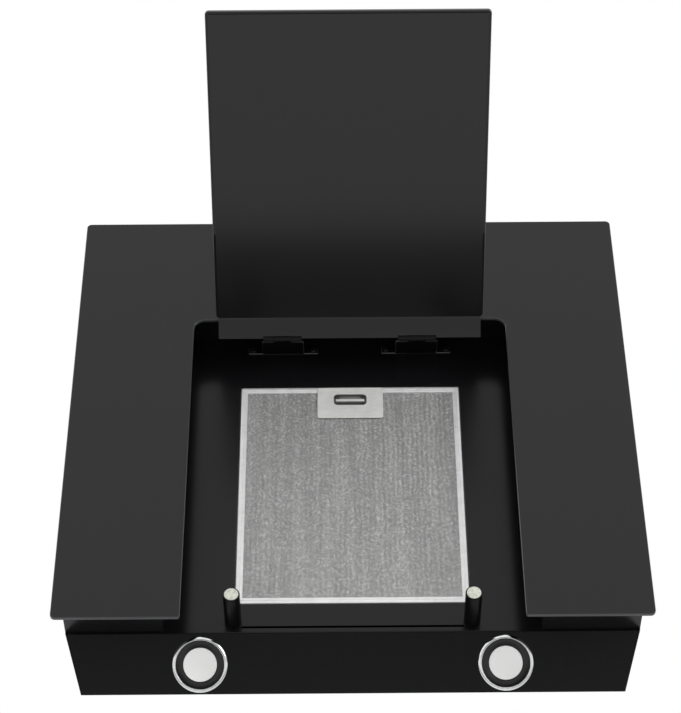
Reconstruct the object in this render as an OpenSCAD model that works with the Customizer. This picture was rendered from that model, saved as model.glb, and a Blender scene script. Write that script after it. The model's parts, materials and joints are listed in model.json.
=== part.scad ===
// Wall range hood with a leaning black glass face, an edge-extraction flap, one grease filter and two lamps.
// Millimetres. +Z is up, the wall is at +Y, the face looks towards -Y and down.
// The origin is the middle of the four wall screw holes, on the wall side of the back panel.
// Parts of the face are drawn in face axes:
// X across, Y up along the glass from its lower edge, Z out of the glass.

/* [Overall] */
// slope of the glass above the horizontal
lean = 55; // [50:1:65]
// width of the body at its face
body_w = 580; // [520:1:880]
// thickness of every steel sheet
sheet = 1; // [0.8:0.1:1.5]

/* [Front glass] */
// glass beyond the body at each side
glass_side = 9; // [4:1:20]
// glass above the cut-out
glass_band = 149; // [120:1:190]
// glass beyond the top of the body
glass_over = 18.5; // [10:0.5:24]
// glass thickness
glass_t = 4; // [3:0.5:6]
// width of the cut-out that is open at the lower edge
notch_w = 342; // [300:1:380]
// corner radius inside the cut-out
notch_r = 12; // [6:1:20]
// corner radius outside
glass_r = 5; // [2:1:12]
// corner radius beside the opening at the glass's lower edge
leg_r = 2.5; // [1:0.5:5]
// thickness of the bonding strips behind the glass
bond_t = 1; // [0.8:0.1:2]

/* [Recess] */
// depth of the recess floor below the front of the glass
floor_z = 54; // [50:1:64]
// how far the glass hides the recess at its sides and top
lip = 20; // [14:1:26]
// where the floor ends and the lamp panel starts
crease_y = 18; // [12:1:24]
// outside radius of the bend between the floor and the lamp panel
bend_r = 4; // [2:0.5:6]

/* [Lamp panel] */
// length of the lamp panel from the crease to the back corner
lamp_len = 61.5; // [58:0.5:74]
// slope of the lamp panel against the glass
lamp_tilt = 33.6; // [30:0.1:40]
// how much each side of the body steps in behind the face
tail_in = 16.5; // [8:0.5:24]
// lamp centre from the middle
lamp_x = 154; // [120:1:200]
// lamp centre from the crease
lamp_y = 32; // [29.5:0.5:36]
// outside radius of the lamp ring
ring_r = 28; // [25:0.5:28.5]
// inside radius of the lamp ring
ring_in = 24.5; // [20:0.5:25]
// lens radius
lens_r = 17; // [14:0.5:19]
// depth of the lamp body behind the panel
lamp_depth = 16; // [12:1:19]

/* [Flap] */
// flap length
flap_len = 356; // [320:1:430]
// gap along each side of the flap
flap_gap = 24; // [16:1:32]
// gap above the shut flap
flap_top_gap = 38.6; // [36:0.2:50]
// corner radius of the flap
flap_r = 4; // [2:1:8]
// glass beyond the steel backing at each side
back_inset = 3; // [1:0.5:6]
// length of the bent hinge strip
strip_len = 22.5; // [20:0.5:24]
// bend of the hinge strip out of the flap
strip_bend = 28.6; // [24:0.2:32]
// opening angle shown
open_angle = 109.4; // [90:0.2:112]

/* [Hinges] */
// hinge centre from the middle
hinge_x = 74; // [60:1:100]
// width of the hinge foot
foot_w = 77; // [66:1:90]
// width of the hinge leaf
leaf_w = 46; // [38:1:54]
// pin radius
pin_r = 2; // [1.5:0.1:2.5]
// knuckle radius
knuckle_r = 3.2; // [2.8:0.1:3.6]
// running clearance round each pin
run_fit = 0.08; // [0.05:0.01:0.1]

/* [Posts] */
// post centre from the middle
post_x = 121; // [100:1:140]
// post centre up from the lower edge of the glass
post_y = 31; // [26:1:36]
// post radius
post_r = 8.5; // [7:0.5:10]
// radius of the magnet in the tip
magnet_r = 7.2; // [6:0.1:7.4]
// magnet thickness
magnet_t = 3; // [2:0.5:6]
// width of the slot between the posts
drip_w = 2.6; // [1.5:0.1:3]

/* [Grease filter] */
// filter width
filter_w = 239; // [220:1:250]
// how much shorter than the flap the filter is
filter_short = 68; // [60:1:90]
// lower edge of the filter, up from the lower edge of the glass
filter_y = 53.5; // [50:0.5:60]
// filter thickness
filter_t = 9; // [8:0.5:14]
// visible width of the filter border
border = 7; // [6:0.5:9]
// gap between the filter and its opening
filter_gap = 1.2; // [0.8:0.1:2]
// thickness of one mesh layer
mesh_t = 1.2; // [0.8:0.1:1.5]
// latch plate width
latch_w = 72; // [60:1:84]
// latch plate height
latch_h = 43; // [36:1:50]
// width of the finger slot
slot_w = 36; // [28:1:40]
// height of the finger slot
slot_h = 15.4; // [12:0.2:18]
// corner radius of the finger slot
slot_r = 4.5; // [3:0.5:6]

/* [Blower] */
// gap between the casing and the wall, and between the casing and the filter tray
blower_gap = 19; // [14:1:22]
// outside width of the casing
scroll_w = 170; // [140:1:204]
// gap round the impeller inside the casing
wheel_gap = 14; // [10:1:18]
// number of impeller blades
blades = 28; // [20:1:36]

/* [Outlet] */
// inside radius of the outlet collar
collar_in = 72; // [58:1:73.5]
// wall of the outlet collar
collar_t = 2; // [1.5:0.1:3]
// height of the collar above the body
collar_h = 60; // [50:1:75]
// thickness of a damper flap
damper_t = 1.5; // [1:0.1:2]
// height of the damper axis above the body
damper_v = 14; // [11:1:18]
// damper axis from the middle line
damper_off = 6; // [5:0.5:8]

/* [Wall fixing] */
// wall screw hole radius
wall_hole_r = 4; // [3:0.5:5]
// wall holes apart, across
wall_x = 250; // [200:10:280]
// wall holes apart, up
wall_z = 200; // [150:1:220]
// middle of the wall holes below the top of the body
wall_drop = 138; // [115:1:170]

/* [Hidden] */
$fn = 64;
eps = 0.02;
drip_y = post_y - 8;
flap_y1 = flap_len + 0.4;
notch_h = flap_y1 + flap_top_gap;
flap_w = notch_w - 2 * flap_gap;
back_w = flap_w - 2 * back_inset;
glass_w = body_w + 2 * glass_side;
glass_h = notch_h + glass_band;
recess_x = notch_w / 2 + lip;
recess_y = notch_h + lip;
tail_w = body_w - 2 * tail_in;
filter_len = flap_len - filter_short;
face_in = glass_t + bond_t;
flap_in = glass_t + sheet;
// lower back corner, in face axes
toe_y = lamp_len * cos(lamp_tilt) - crease_y;
toe_z = floor_z + lamp_len * sin(lamp_tilt);
pan_w = body_w - 2 * sheet;
body_x = tail_w / 2;
in_x = body_x - sheet;
// depth of a face plane z at height v above the lower back corner
function depth(z, v) = (z + toe_z + v * cos(lean)) / sin(lean);
// face height where the floor meets the flat top, and the height of that top above the back corner
pan_top = glass_h - glass_over;
body_h = (pan_top + toe_y) * sin(lean) - (toe_z - floor_z) * cos(lean);
side_o = depth(-toe_z, body_h);
wall_v = body_h - wall_drop;
carrier_y = crease_y + 1.5;
carrier_top_y = pan_top - 0.5;
// inside of the slanted side strip at a face depth z
function strip_x(z) = in_x + (pan_w / 2 - in_x) * (z + toe_z) / (toe_z - floor_z);
bend_y = bend_r * tan(lamp_tilt / 2);
tail_slope = lean - lamp_tilt;
// hinge axis and the free end of the bent strip, flap shut, in face axes
strip_y = flap_y1 + strip_len * cos(strip_bend);
strip_z = -flap_in - strip_len * sin(strip_bend);
back_y = 3.4;
pivot_y = strip_y + 1.9;
pivot_z = strip_z + 2.2;
foot_y = pivot_y + 13.8;
leaf_rise = floor_z + pivot_z;
leaf_slant = atan2(foot_y - pivot_y, leaf_rise);
leaf_len = norm([foot_y - pivot_y, leaf_rise]);
filter_mid = filter_y + filter_len / 2;
open_w = filter_w + 2 * filter_gap;
open_h = filter_len + 2 * filter_gap;
tray_z = floor_z + filter_t;
filter_top = filter_y + filter_len;
latch_y = filter_top - latch_h - 0.5;
slot_y = filter_top - slot_h - 9.9;
bar_y = slot_y + slot_h / 2 - 2;
pocket_x = slot_w / 2 + 3;
pocket_y = slot_y - 5;
slide_z = -floor_z - 3.5;
// blower, its axis in front of the wall and above the lower back corner
scroll_r = 0.196 * body_h;
casing_x = scroll_w / 2;
blower_o = scroll_r + blower_gap;
blower_v = (blower_o * sin(lean) - toe_z + scroll_r + tray_z + sheet + blower_gap) / cos(lean);
wheel_r = scroll_r - wheel_gap;
wheel_w = scroll_w - 30;
inlet_r = wheel_r - 16;
motor_r = wheel_r - 31;
shaft_r = 4;
// middle of the touch board, up the glass
touch_y = (recess_y + carrier_top_y) / 2;
// lower corner and depth of the electronics box
box_x = -in_x + 14;
box_o = 46;
box_v = body_h - 104;
cap_r = 12;
// cable inlet
gland_x = box_x + 60;
gland_o = 24;
gland_r = 8;
post_tip = -flap_in - 0.3;

module face() {
    translate([0, 0, -wall_v]) rotate([180 - lean, 0, 0]) translate([0, toe_y, toe_z]) children();
}
module wall() {
    translate([0, 0, -wall_v]) children();
}
module lamp_face() {
    face() translate([0, crease_y, -floor_z]) rotate([lamp_tilt, 0, 0]) children();
}
module flap_pose() {
    face() translate([0, pivot_y, pivot_z]) rotate([-open_angle, 0, 0]) translate([0, -pivot_y, -pivot_z])
        children();
}
// box from one corner to the other
module box(a, b) {
    translate(a) cube(b - a);
}
// the small piece that rounding takes off a corner
module spandrel(x, y, sx, sy, r) {
    translate([x, y]) mirror([sx < 0 ? 1 : 0, 0]) mirror([0, sy < 0 ? 1 : 0]) difference() {
        translate([-1, -1]) square(r + 1);
        translate([r, r]) circle(r);
    }
}
// plate with four rounded corners
module round_plate(x0, x1, y0, y1, r, t) {
    linear_extrude(t) difference() {
        translate([x0, y0]) square([x1 - x0, y1 - y0]);
        spandrel(x0, y0, 1, 1, r);
        spandrel(x1, y0, -1, 1, r);
        spandrel(x0, y1, 1, -1, r);
        spandrel(x1, y1, -1, -1, r);
    }
}
// profile given by depth from the wall and height, drawn across the body
module across(x0, x1) {
    wall() translate([x0, 0, 0]) rotate([90, 0, 90]) linear_extrude(x1 - x0) mirror([1, 0]) children();
}
// turned piece with its axis across the body, at the blower axis
module turned(x0, x1, r) {
    wall() translate([x0, -blower_o, blower_v]) rotate([0, 90, 0]) cylinder(r = r, h = x1 - x0);
}

// ---- body sheets ----
module back_panel() color("#8d9094") {
    foot = sheet / cos(tail_slope) + sheet * tan(tail_slope);
    difference() {
        wall() box([-in_x, -sheet, foot], [in_x, 0, body_h - sheet]);
        for (x = [-wall_x / 2, wall_x / 2], z = [-wall_z / 2, wall_z / 2])
            translate([x, eps, z]) rotate([90, 0, 0]) cylinder(r = wall_hole_r, h = sheet + 2 * eps);
    }
}
module side_panel() difference() {
    face() translate([0, pan_top + 100, 0]) rotate([90, 0, 0]) linear_extrude(2 * pan_top) polygon([
        [pan_w / 2, -floor_z], [body_w / 2, -floor_z], [body_x, -toe_z], [body_x, -toe_z - 600],
        [in_x, -toe_z - 600], [in_x, -toe_z]]);
    lamp_face() box([0, -3 * lamp_len, 0], [body_w, 200, 200]);
    wall() box([0, 0, -1000], [body_w, 1000, 3 * body_h]);
    wall() box([0, -1000, body_h], [body_w, 100, 3 * body_h]);
}
module side_panel_left() color("#26282b") mirror([1, 0, 0]) side_panel();
module side_panel_right() color("#26282b") side_panel();
module top_panel() color("#26282b") {
    front = depth(-floor_z - sheet, body_h - sheet);
    front_x = strip_x(front * sin(lean) - body_h * cos(lean) - toe_z);
    difference() {
        wall() translate([0, 0, body_h - sheet]) linear_extrude(sheet) mirror([0, 1]) polygon([
            [-in_x, 0], [in_x, 0], [in_x, side_o], [front_x, front], [-front_x, front], [-in_x, side_o]]);
        wall() translate([0, -blower_o, body_h - 2 * sheet]) cylinder(r = collar_in, h = 3 * sheet);
        wall() translate([gland_x, -gland_o, body_h - 2 * sheet]) cylinder(r = gland_r, h = 3 * sheet);
        collar_screws(2);
    }
}
module front_panel() color("#1c1d20") difference() {
    union() {
        face() box([-strip_x(-floor_z - sheet), crease_y + bend_y, -floor_z - sheet],
            [strip_x(-floor_z - sheet), pan_top - sheet, -floor_z]);
        face() translate([-strip_x(-floor_z - bend_r), crease_y + bend_y, -floor_z - bend_r])
            rotate([90, 0, 90]) linear_extrude(2 * strip_x(-floor_z - bend_r)) intersection() {
                difference() {
                    circle(bend_r);
                    circle(bend_r - sheet);
                }
                polygon([[0, 0], [0, 9], [-9 * sin(lamp_tilt), 9],
                    [-9 * sin(lamp_tilt), 9 * cos(lamp_tilt)]]);
            }
    }
    face() box([-open_w / 2, filter_mid - open_h / 2, -floor_z - 2],
        [open_w / 2, filter_mid + open_h / 2, 0]);
    for (x = [-post_x, post_x])
        face() translate([x, post_y, -floor_z - 2]) cylinder(r = 2, h = 3);
    face() box([-post_x + post_r, drip_y, -floor_z - 2], [post_x - post_r, drip_y + drip_w, 0]);
    hinge_screws(2);
}
module lamp_panel() color("#1c1d20") lamp_face() difference() {
    near = strip_x(-floor_z - sheet - bend_r * sin(lamp_tilt) / 2);
    far = strip_x(-toe_z) - 0.2;
    translate([0, 0, -sheet]) linear_extrude(sheet) polygon([
        [-near, -bend_y], [near, -bend_y], [far, -lamp_len], [-far, -lamp_len]]);
    for (x = [-lamp_x, lamp_x])
        translate([x, -lamp_y, -2 * sheet]) cylinder(r = ring_in + 0.8, h = 3 * sheet);
}
module carrier(x0, x1, y0, y1) {
    difference() {
        box([x0, y0, -floor_z], [x1, y1, -face_in]);
        box([x0 + sheet, y0 + sheet, -floor_z - 1], [x1 - sheet, y1 - sheet, -face_in - sheet]);
    }
}
module carrier_left() color("#1c1d20")
    face() carrier(-body_w / 2, -recess_x, carrier_y, carrier_top_y);
module carrier_right() color("#1c1d20")
    face() carrier(recess_x, body_w / 2, carrier_y, carrier_top_y);
module carrier_top() color("#1c1d20") face() difference() {
    carrier(-recess_x, recess_x, recess_y, carrier_top_y);
    box([-60, touch_y - 14, -face_in - 2 * sheet], [60, touch_y + 14, 0]);
}

// ---- front glass ----
module glass_bond() color("#303236") face() {
    for (s = [0, 1])
        mirror([s, 0, 0])
            box([recess_x + 6, carrier_y + 6, -face_in], [body_w / 2 - 5, carrier_top_y - 6, -glass_t]);
    box([-recess_x + 2, recess_y + 5, -face_in], [recess_x - 2, touch_y - 18, -glass_t]);
    box([-recess_x + 2, touch_y + 18, -face_in], [recess_x - 2, carrier_top_y - 6, -glass_t]);
}
module glass_front() color("#0d0e10") face() translate([0, 0, -glass_t]) difference() {
    round_plate(-glass_w / 2, glass_w / 2, 0, glass_h, glass_r, glass_t);
    translate([0, 0, -1]) linear_extrude(glass_t + 2) {
        difference() {
            translate([-notch_w / 2, -1]) square([notch_w, notch_h + 1]);
            spandrel(-notch_w / 2, notch_h, 1, -1, notch_r);
            spandrel(notch_w / 2, notch_h, -1, -1, notch_r);
        }
        spandrel(-notch_w / 2, 0, -1, 1, leg_r);
        spandrel(notch_w / 2, 0, 1, 1, leg_r);
    }
}

// ---- flap and hinges ----
module flap_glass() color("#0d0e10") flap_pose() translate([0, 0, -glass_t])
    round_plate(-flap_w / 2, flap_w / 2, 0.4, flap_y1, flap_r, glass_t);
// flap backing seen from the side: a flat sheet with its hinge end bent inwards
module backing_outline() {
    polygon([[back_y, -flap_in], [flap_y1, -flap_in], [strip_y, strip_z],
        [strip_y + sheet * sin(strip_bend), strip_z + sheet * cos(strip_bend)],
        [flap_y1 + sheet * tan(strip_bend / 2), -glass_t], [back_y, -glass_t]]);
}
// profile given by face height and face depth, drawn across the flap
module flap_profile(x0, x1) {
    translate([x0, 0, 0]) rotate([90, 0, 90]) linear_extrude(x1 - x0) children();
}
module flap_backing() color("#232427") flap_pose() difference() {
    flap_profile(-back_w / 2, back_w / 2) backing_outline();
    for (x = [-hinge_x, hinge_x])
        flap_profile(x - 21, x + 21) translate([pivot_y, pivot_z]) circle(knuckle_r + 0.4);
}
module knuckle(x0, x1, bore) {
    flap_profile(x0, x1) translate([pivot_y, pivot_z]) difference() {
        circle(knuckle_r);
        circle(bore);
    }
}
module hinge_leaf(x) color("#6f7276") flap_pose() difference() {
    flap_profile(x - 20, x + 20) difference() {
        union() {
            translate([pivot_y, pivot_z]) circle(knuckle_r);
            translate([flap_y1, -flap_in]) rotate(-strip_bend) translate([7, sheet])
                square([strip_len - 7, sheet]);
        }
        translate([pivot_y, pivot_z]) circle(pin_r + run_fit);
    }
    flap_profile(x - 10.4, x + 10.4) translate([pivot_y, pivot_z]) circle(knuckle_r + 4);
}
module hinge_leaf_left() hinge_leaf(-hinge_x);
module hinge_leaf_right() hinge_leaf(hinge_x);
module hinge_bracket(x) color("#1f2023") difference() {
    face() translate([x, 0, 0]) {
        knuckle(-10, 10, pin_r + 0.01);
        translate([0, pivot_y, pivot_z]) rotate([leaf_slant, 0, 0]) {
            box([-10, -0.75, -leaf_len + 1], [10, 0.75, -knuckle_r + 0.4]);
            box([-leaf_w / 2, -0.75, -leaf_len + 1], [leaf_w / 2, 0.75, -knuckle_r - 4]);
        }
        box([-foot_w / 2, foot_y - 1, -floor_z], [foot_w / 2, foot_y + 8, -floor_z + 1.5]);
    }
    hinge_screws(2);
}
module hinge_bracket_left() hinge_bracket(-hinge_x);
module hinge_bracket_right() hinge_bracket(hinge_x);
module hinge_pin(x) color("#9a9da1") face() translate([x - 21, pivot_y, pivot_z]) rotate([0, 90, 0])
    cylinder(r = pin_r, h = 42);
module hinge_pin_left() hinge_pin(-hinge_x);
module hinge_pin_right() hinge_pin(hinge_x);

// ---- posts that hold the shut flap ----
module post(x) color("#141517") face() translate([x, post_y, -floor_z]) difference() {
    cylinder(r = post_r, h = floor_z + post_tip - 0.4);
    translate([0, 0, floor_z + post_tip - magnet_t]) cylinder(r = magnet_r, h = magnet_t);
    translate([0, 0, -1]) cylinder(r = 1.5, h = 12);
}
module post_left() post(-post_x);
module post_right() post(post_x);
module post_magnet(x) color("#c9cbc8") face()
    translate([x, post_y, post_tip - magnet_t]) cylinder(r = magnet_r, h = magnet_t);
module post_magnet_left() post_magnet(-post_x);
module post_magnet_right() post_magnet(post_x);

// ---- grease filter ----
module filter_tray() color("#2a2c2f") face() difference() {
    box([-open_w / 2 - sheet, filter_mid - open_h / 2 - sheet, -tray_z - sheet],
        [open_w / 2 + sheet, filter_mid + open_h / 2 + sheet, -floor_z - sheet]);
    box([-open_w / 2, filter_mid - open_h / 2, -tray_z], [open_w / 2, filter_mid + open_h / 2, 0]);
    box([-filter_w / 2 + border, filter_y + border, -tray_z - 2],
        [filter_w / 2 - border, filter_top - border, 0]);
    box([-13, filter_mid, slide_z - 1.8], [13, filter_top + 9, slide_z + 0.3]);
}
module filter_box(inset, z0, z1) {
    box([-filter_w / 2 + inset, filter_y + inset, z0], [filter_w / 2 - inset, filter_top - inset, z1]);
}
module filter_frame() color("#c4c6c8") face() difference() {
    filter_box(0, -tray_z, -floor_z);
    filter_box(border, -tray_z - 1, 0);
    filter_box(sheet, -tray_z + sheet, -floor_z - sheet);
    box([-12.3, filter_mid, slide_z - 1.8], [12.3, filter_top + 1, slide_z + 0.3]);
}
module mesh_layer(z0) face() difference() {
    filter_box(sheet + 0.3, z0, z0 + mesh_t);
    box([-pocket_x - 1.2, pocket_y - 1.2, -90], [pocket_x + 1.2, filter_top + 1, 0]);
}
module filter_mesh_front() color("#a9abad") mesh_layer(-floor_z - sheet - mesh_t);
module filter_mesh_back() color("#a9abad") mesh_layer(-tray_z + sheet);
module filter_core() color("#9b9da0") {
    room = filter_t - 2 * sheet - 2 * mesh_t;
    for (k = [0:2])
        mesh_layer(-tray_z + sheet + mesh_t + room * (k + 0.5) / 3 - mesh_t / 2 + (k - 1) * 0.15);
}
module latch_plate() color("#bdbfbe") face() difference() {
    union() {
        translate([0, 0, -floor_z])
            round_plate(-latch_w / 2, latch_w / 2, latch_y, filter_top - 0.5, 2, 0.8);
        box([-pocket_x, pocket_y, slide_z - 3], [pocket_x, filter_top - border - 0.2, -floor_z]);
    }
    box([-pocket_x + 1, pocket_y + 1, slide_z - 2], [pocket_x - 1, filter_top, -floor_z]);
    box([-12.3, pocket_y + 3, slide_z - 1.8], [12.3, filter_top, slide_z + 0.3]);
    translate([0, 0, -floor_z - 1])
        round_plate(-slot_w / 2, slot_w / 2, slot_y, slot_y + slot_h, slot_r, 3);
}
module latch_slider() color("#d4d5d4") face() {
    box([-12, bar_y, slide_z - 1.5], [12, filter_top + 3, slide_z]);
    box([-slot_w / 2 + 2, bar_y, slide_z - 1.5], [slot_w / 2 - 2, bar_y + 4, -floor_z - 0.4]);
}
module latch_spring() color("#8e9194") face()
    for (x = [-7, 7], k = [0:3])
        translate([x, pocket_y + 1.5 + k, slide_z - 0.75]) rotate([90, 0, 0]) rotate_extrude()
            translate([0.75, 0]) circle(r = 0.5, $fn = 24);

// ---- lamps ----
module lamp_at(x) lamp_face() translate([x, -lamp_y, 0]) children();
module lamp_ring(x) color("#d9dbdd") lamp_at(x) rotate_extrude() polygon([
    [ring_in, -5], [ring_in + 0.5, -5], [ring_in + 0.5, 0], [ring_r, 0], [ring_r, 0.8], [ring_r - 1, 2],
    [ring_in + 0.6, 2], [ring_in, 1.4]]);
module lamp_ring_left() lamp_ring(-lamp_x);
module lamp_ring_right() lamp_ring(lamp_x);
module lamp_reflector(x) color("#101113") lamp_at(x) rotate_extrude() polygon([
    [lens_r, -4.2], [ring_in, -4.2], [ring_in, 0.8], [ring_in - 1, 0.8], [lens_r + 0.6, -1], [lens_r, -1]]);
module lamp_reflector_left() lamp_reflector(-lamp_x);
module lamp_reflector_right() lamp_reflector(lamp_x);
module lamp_lens(x) color("#f2f2ee") lamp_at(x) translate([0, 0, -3.2]) cylinder(r = lens_r, h = 2);
module lamp_lens_left() lamp_lens(-lamp_x);
module lamp_lens_right() lamp_lens(lamp_x);
module lamp_body(x) color("#b9bcbf") lamp_at(x) rotate_extrude() polygon([
    [0, -lamp_depth], [lens_r + 2, -lamp_depth], [lens_r + 2, -7], [ring_in - 0.3, -7], [ring_in - 0.3, -4.2],
    [lens_r + 0.5, -4.2], [lens_r + 0.5, -7], [lens_r - 3, -7], [lens_r - 3, -lamp_depth + 2],
    [0, -lamp_depth + 2]]);
module lamp_body_left() lamp_body(-lamp_x);
module lamp_body_right() lamp_body(lamp_x);
module lamp_board(x) color("#e8e6d8") lamp_at(x) {
    translate([0, 0, -7]) cylinder(r = lens_r, h = 1.2);
    for (a = [0:60:300])
        rotate([0, 0, a]) translate([8.5, -1.5, -6]) cube([3, 3, 1.2]);
}
module lamp_board_left() lamp_board(-lamp_x);
module lamp_board_right() lamp_board(lamp_x);
module lamp_clips() color("#9a9da1")
    for (x = [-lamp_x, lamp_x], s = [0, 1])
        lamp_at(x) mirror([s, 0, 0]) {
            box([ring_in - 0.2, -4, -6.8], [ring_in + 2, 4, -6]);
            box([ring_in + 1.2, -4, -6.8], [ring_in + 2, 4, -sheet]);
            box([ring_in + 1.2, -4, -sheet - 0.8], [ring_in + 8, 4, -sheet]);
        }

// ---- blower ----
module casing_outline(g) {
    translate([blower_o, blower_v]) circle(scroll_r - g);
    translate([blower_o - scroll_r + g, blower_v])
        square([2 * (scroll_r - g), body_h - sheet - blower_v + (g > 0 ? 1 : 0)]);
}
module blower_casing() color("#b4b7ba") difference() {
    across(-casing_x, casing_x) casing_outline(0);
    across(-casing_x + 1.5, casing_x - 1.5) casing_outline(1.5);
    turned(-casing_x - 1, casing_x + 1, inlet_r);
}
module blower_inlets() color("#9b9ea2")
    for (s = [0, 1])
        mirror([s, 0, 0]) wall() translate([casing_x, -blower_o, blower_v]) rotate([0, 90, 0])
            rotate_extrude() polygon([[inlet_r - 1.4, -7], [inlet_r - 0.2, -7], [inlet_r - 0.2, 0],
                [inlet_r + 5, 0], [inlet_r + 5, 1.2], [inlet_r + 0.6, 1.2], [inlet_r - 1.4, -0.8]]);
module impeller() color("#cfd1d3") {
    for (x = [-wheel_w / 2, wheel_w / 2 - 2])
        difference() {
            turned(x, x + 2, wheel_r);
            turned(x - 1, x + 3, wheel_r - 10);
        }
    difference() {
        union() {
            turned(-1, 1, wheel_r);
            turned(-9, 9, 11);
        }
        turned(-20, 20, shaft_r);
    }
    wall() translate([-wheel_w / 2, -blower_o, blower_v]) rotate([90, 0, 90]) linear_extrude(wheel_w)
        for (k = [0:blades - 1])
            rotate(k * 360 / blades) translate([wheel_r - 9.5, 0]) rotate(-25) square([9, 0.8]);
}
module motor_shaft() color("#9a9da1") turned(-12, casing_x + 8, shaft_r);
module motor_body() color("#7d8084") difference() {
    union() {
        turned(24, casing_x + 10, motor_r);
        turned(18, casing_x + 16, 17);
    }
    turned(10, casing_x + 12, shaft_r + run_fit);
}
module motor_bracket() color("#8d9094") difference() {
    union() {
        turned(casing_x + 5, casing_x + 7, motor_r + 6);
        for (a = [30, 150, 270])
            blower_spin(a) box([casing_x + 5, -7, 0], [casing_x + 7, 7, inlet_r + 19]);
    }
    turned(casing_x, casing_x + 9, motor_r);
    for (a = [30, 150, 270])
        blower_spin(a) translate([casing_x, 0, inlet_r + 12]) rotate([0, 90, 0]) cylinder(r = 3, h = 20);
}
module blower_spin(a) wall() translate([0, -blower_o, blower_v]) rotate([a, 0, 0]) children();
module mount_rubbers() color("#17181a")
    for (a = [30, 150, 270])
        blower_spin(a) translate([casing_x, 0, inlet_r + 12]) rotate([0, 90, 0]) {
            cylinder(r = 6, h = 5);
            cylinder(r = 3, h = 8);
            translate([0, 0, 7]) cylinder(r = 5.5, h = 2.5);
        }

// ---- outlet and dampers ----
module collar_screws(r)
    for (a = [45:90:315])
        wall() translate([0, -blower_o, body_h - 5]) rotate([0, 0, a]) translate([collar_in + collar_t + 7, 0, 0])
            cylinder(r = r, h = 8);
module outlet_collar() color("#2a2c2f") difference() {
    wall() translate([0, -blower_o, body_h]) {
        cylinder(r = collar_in + collar_t + 13, h = 1.5);
        cylinder(r = collar_in + collar_t, h = collar_h);
    }
    wall() translate([0, -blower_o, body_h - 1]) cylinder(r = collar_in, h = collar_h + 2);
    collar_screws(2);
    for (s = [-1, 1])
        damper_axis(s) cylinder(r = 1.5, h = 2 * (collar_in + collar_t - 0.8), center = true);
}
module damper_axis(s) wall() translate([0, -blower_o + s * damper_off, body_h + damper_v]) rotate([0, 90, 0])
    children();
module damper(s) color("#55585c") difference() {
    union() {
        wall() translate([0, -blower_o, body_h + damper_v - damper_t / 2]) linear_extrude(damper_t) difference() {
            circle(collar_in - 1.5);
            translate([-100, s > 0 ? -100 : -damper_off]) square([200, 100 + damper_off]);
        }
        for (x = [-45, 45])
            translate([x, 0, 0]) damper_axis(s) cylinder(r = 2.8, h = 24, center = true);
    }
    damper_axis(s) cylinder(r = 1.5 + run_fit, h = 180, center = true);
    for (x = [0, -64.5, 64.5])
        translate([x, 0, 0]) damper_axis(s) cylinder(r = 2.6, h = x == 0 ? 66 : 15, center = true);
}
module damper_front() damper(-1);
module damper_rear() damper(1);
module damper_pins() color("#9a9da1") {
    for (s = [-1, 1])
        damper_axis(s) cylinder(r = 1.49, h = 2 * (collar_in + collar_t - 0.9), center = true);
    wall() box([-sqrt(collar_in * collar_in - 6.3), -blower_o - 2.5, body_h + damper_v - 3],
        [sqrt(collar_in * collar_in - 6.3), -blower_o + 2.5, body_h + damper_v - 1]);
}

// ---- electrics ----
module electronics_box() color("#d8d8d2") {
    difference() {
        wall() box([box_x, -box_o, box_v], [box_x + 120, -sheet, box_v + 80]);
        wall() box([box_x + 1.5, -box_o - 1, box_v + 1.5], [box_x + 118.5, -sheet - 1.5, box_v + 78.5]);
        wall() translate([gland_x, -gland_o, box_v + 70]) cylinder(r = 6, h = 20);
        box_screws(1.5);
    }
    for (x = [8, 112], v = [8, 72])
        wall() translate([box_x + x, -sheet - 1.5, box_v + v]) rotate([90, 0, 0]) cylinder(r = 3, h = 7.5);
}
module box_screws(r)
    for (x = [3.5, 116.5], v = [3.5, 76.5])
        wall() translate([box_x + x, -box_o + 8, box_v + v]) rotate([90, 0, 0]) cylinder(r = r, h = 20);
module electronics_lid() color("#c8c8c2") difference() {
    wall() box([box_x, -box_o - 1.5, box_v], [box_x + 120, -box_o, box_v + 80]);
    box_screws(1.8);
}
module control_board() color("#2f5d43") wall() {
    translate([0, -sheet - 9, 0]) {
        box([box_x + 4, -1.6, box_v + 5], [box_x + 116, 0, box_v + 75]);
        box([box_x + 14, -14, box_v + 50], [box_x + 30, -1.6, box_v + 66]);
        box([box_x + 36, -14, box_v + 50], [box_x + 52, -1.6, box_v + 66]);
        box([box_x + 62, -20, box_v + 44], [box_x + 100, -1.6, box_v + 70]);
        box([box_x + 14, -10, box_v + 36], [box_x + 54, -1.6, box_v + 44]);
    }
}
module capacitor() color("#dcdcd8")
    wall() translate([box_x + 30, -sheet - 10.6 - cap_r, box_v + 8 + cap_r]) rotate([0, 90, 0]) {
        cylinder(r = cap_r, h = 50);
        translate([0, 0, 50]) cylinder(r = 4, h = 6);
    }
module touch_board() color("#2f5d43") face() {
    box([-66, touch_y - 18, -face_in - sheet - 1.6], [66, touch_y + 18, -face_in - sheet]);
    for (x = [-44:22:44])
        translate([x, touch_y, -face_in - sheet]) cylinder(r = 6, h = sheet + bond_t - 0.3);
}
module cable_gland() color("#1a1b1d") wall() translate([gland_x, -gland_o, body_h]) difference() {
    union() {
        cylinder(r = gland_r + 4, h = 5);
        translate([0, 0, 5]) cylinder(r = gland_r + 1, h = 8);
        translate([0, 0, -9]) cylinder(r = gland_r - 0.1, h = 9);
        translate([0, 0, -sheet - 5]) cylinder(r = gland_r + 4, h = 5);
    }
    translate([0, 0, -20]) cylinder(r = 4.5, h = 40);
}

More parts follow.
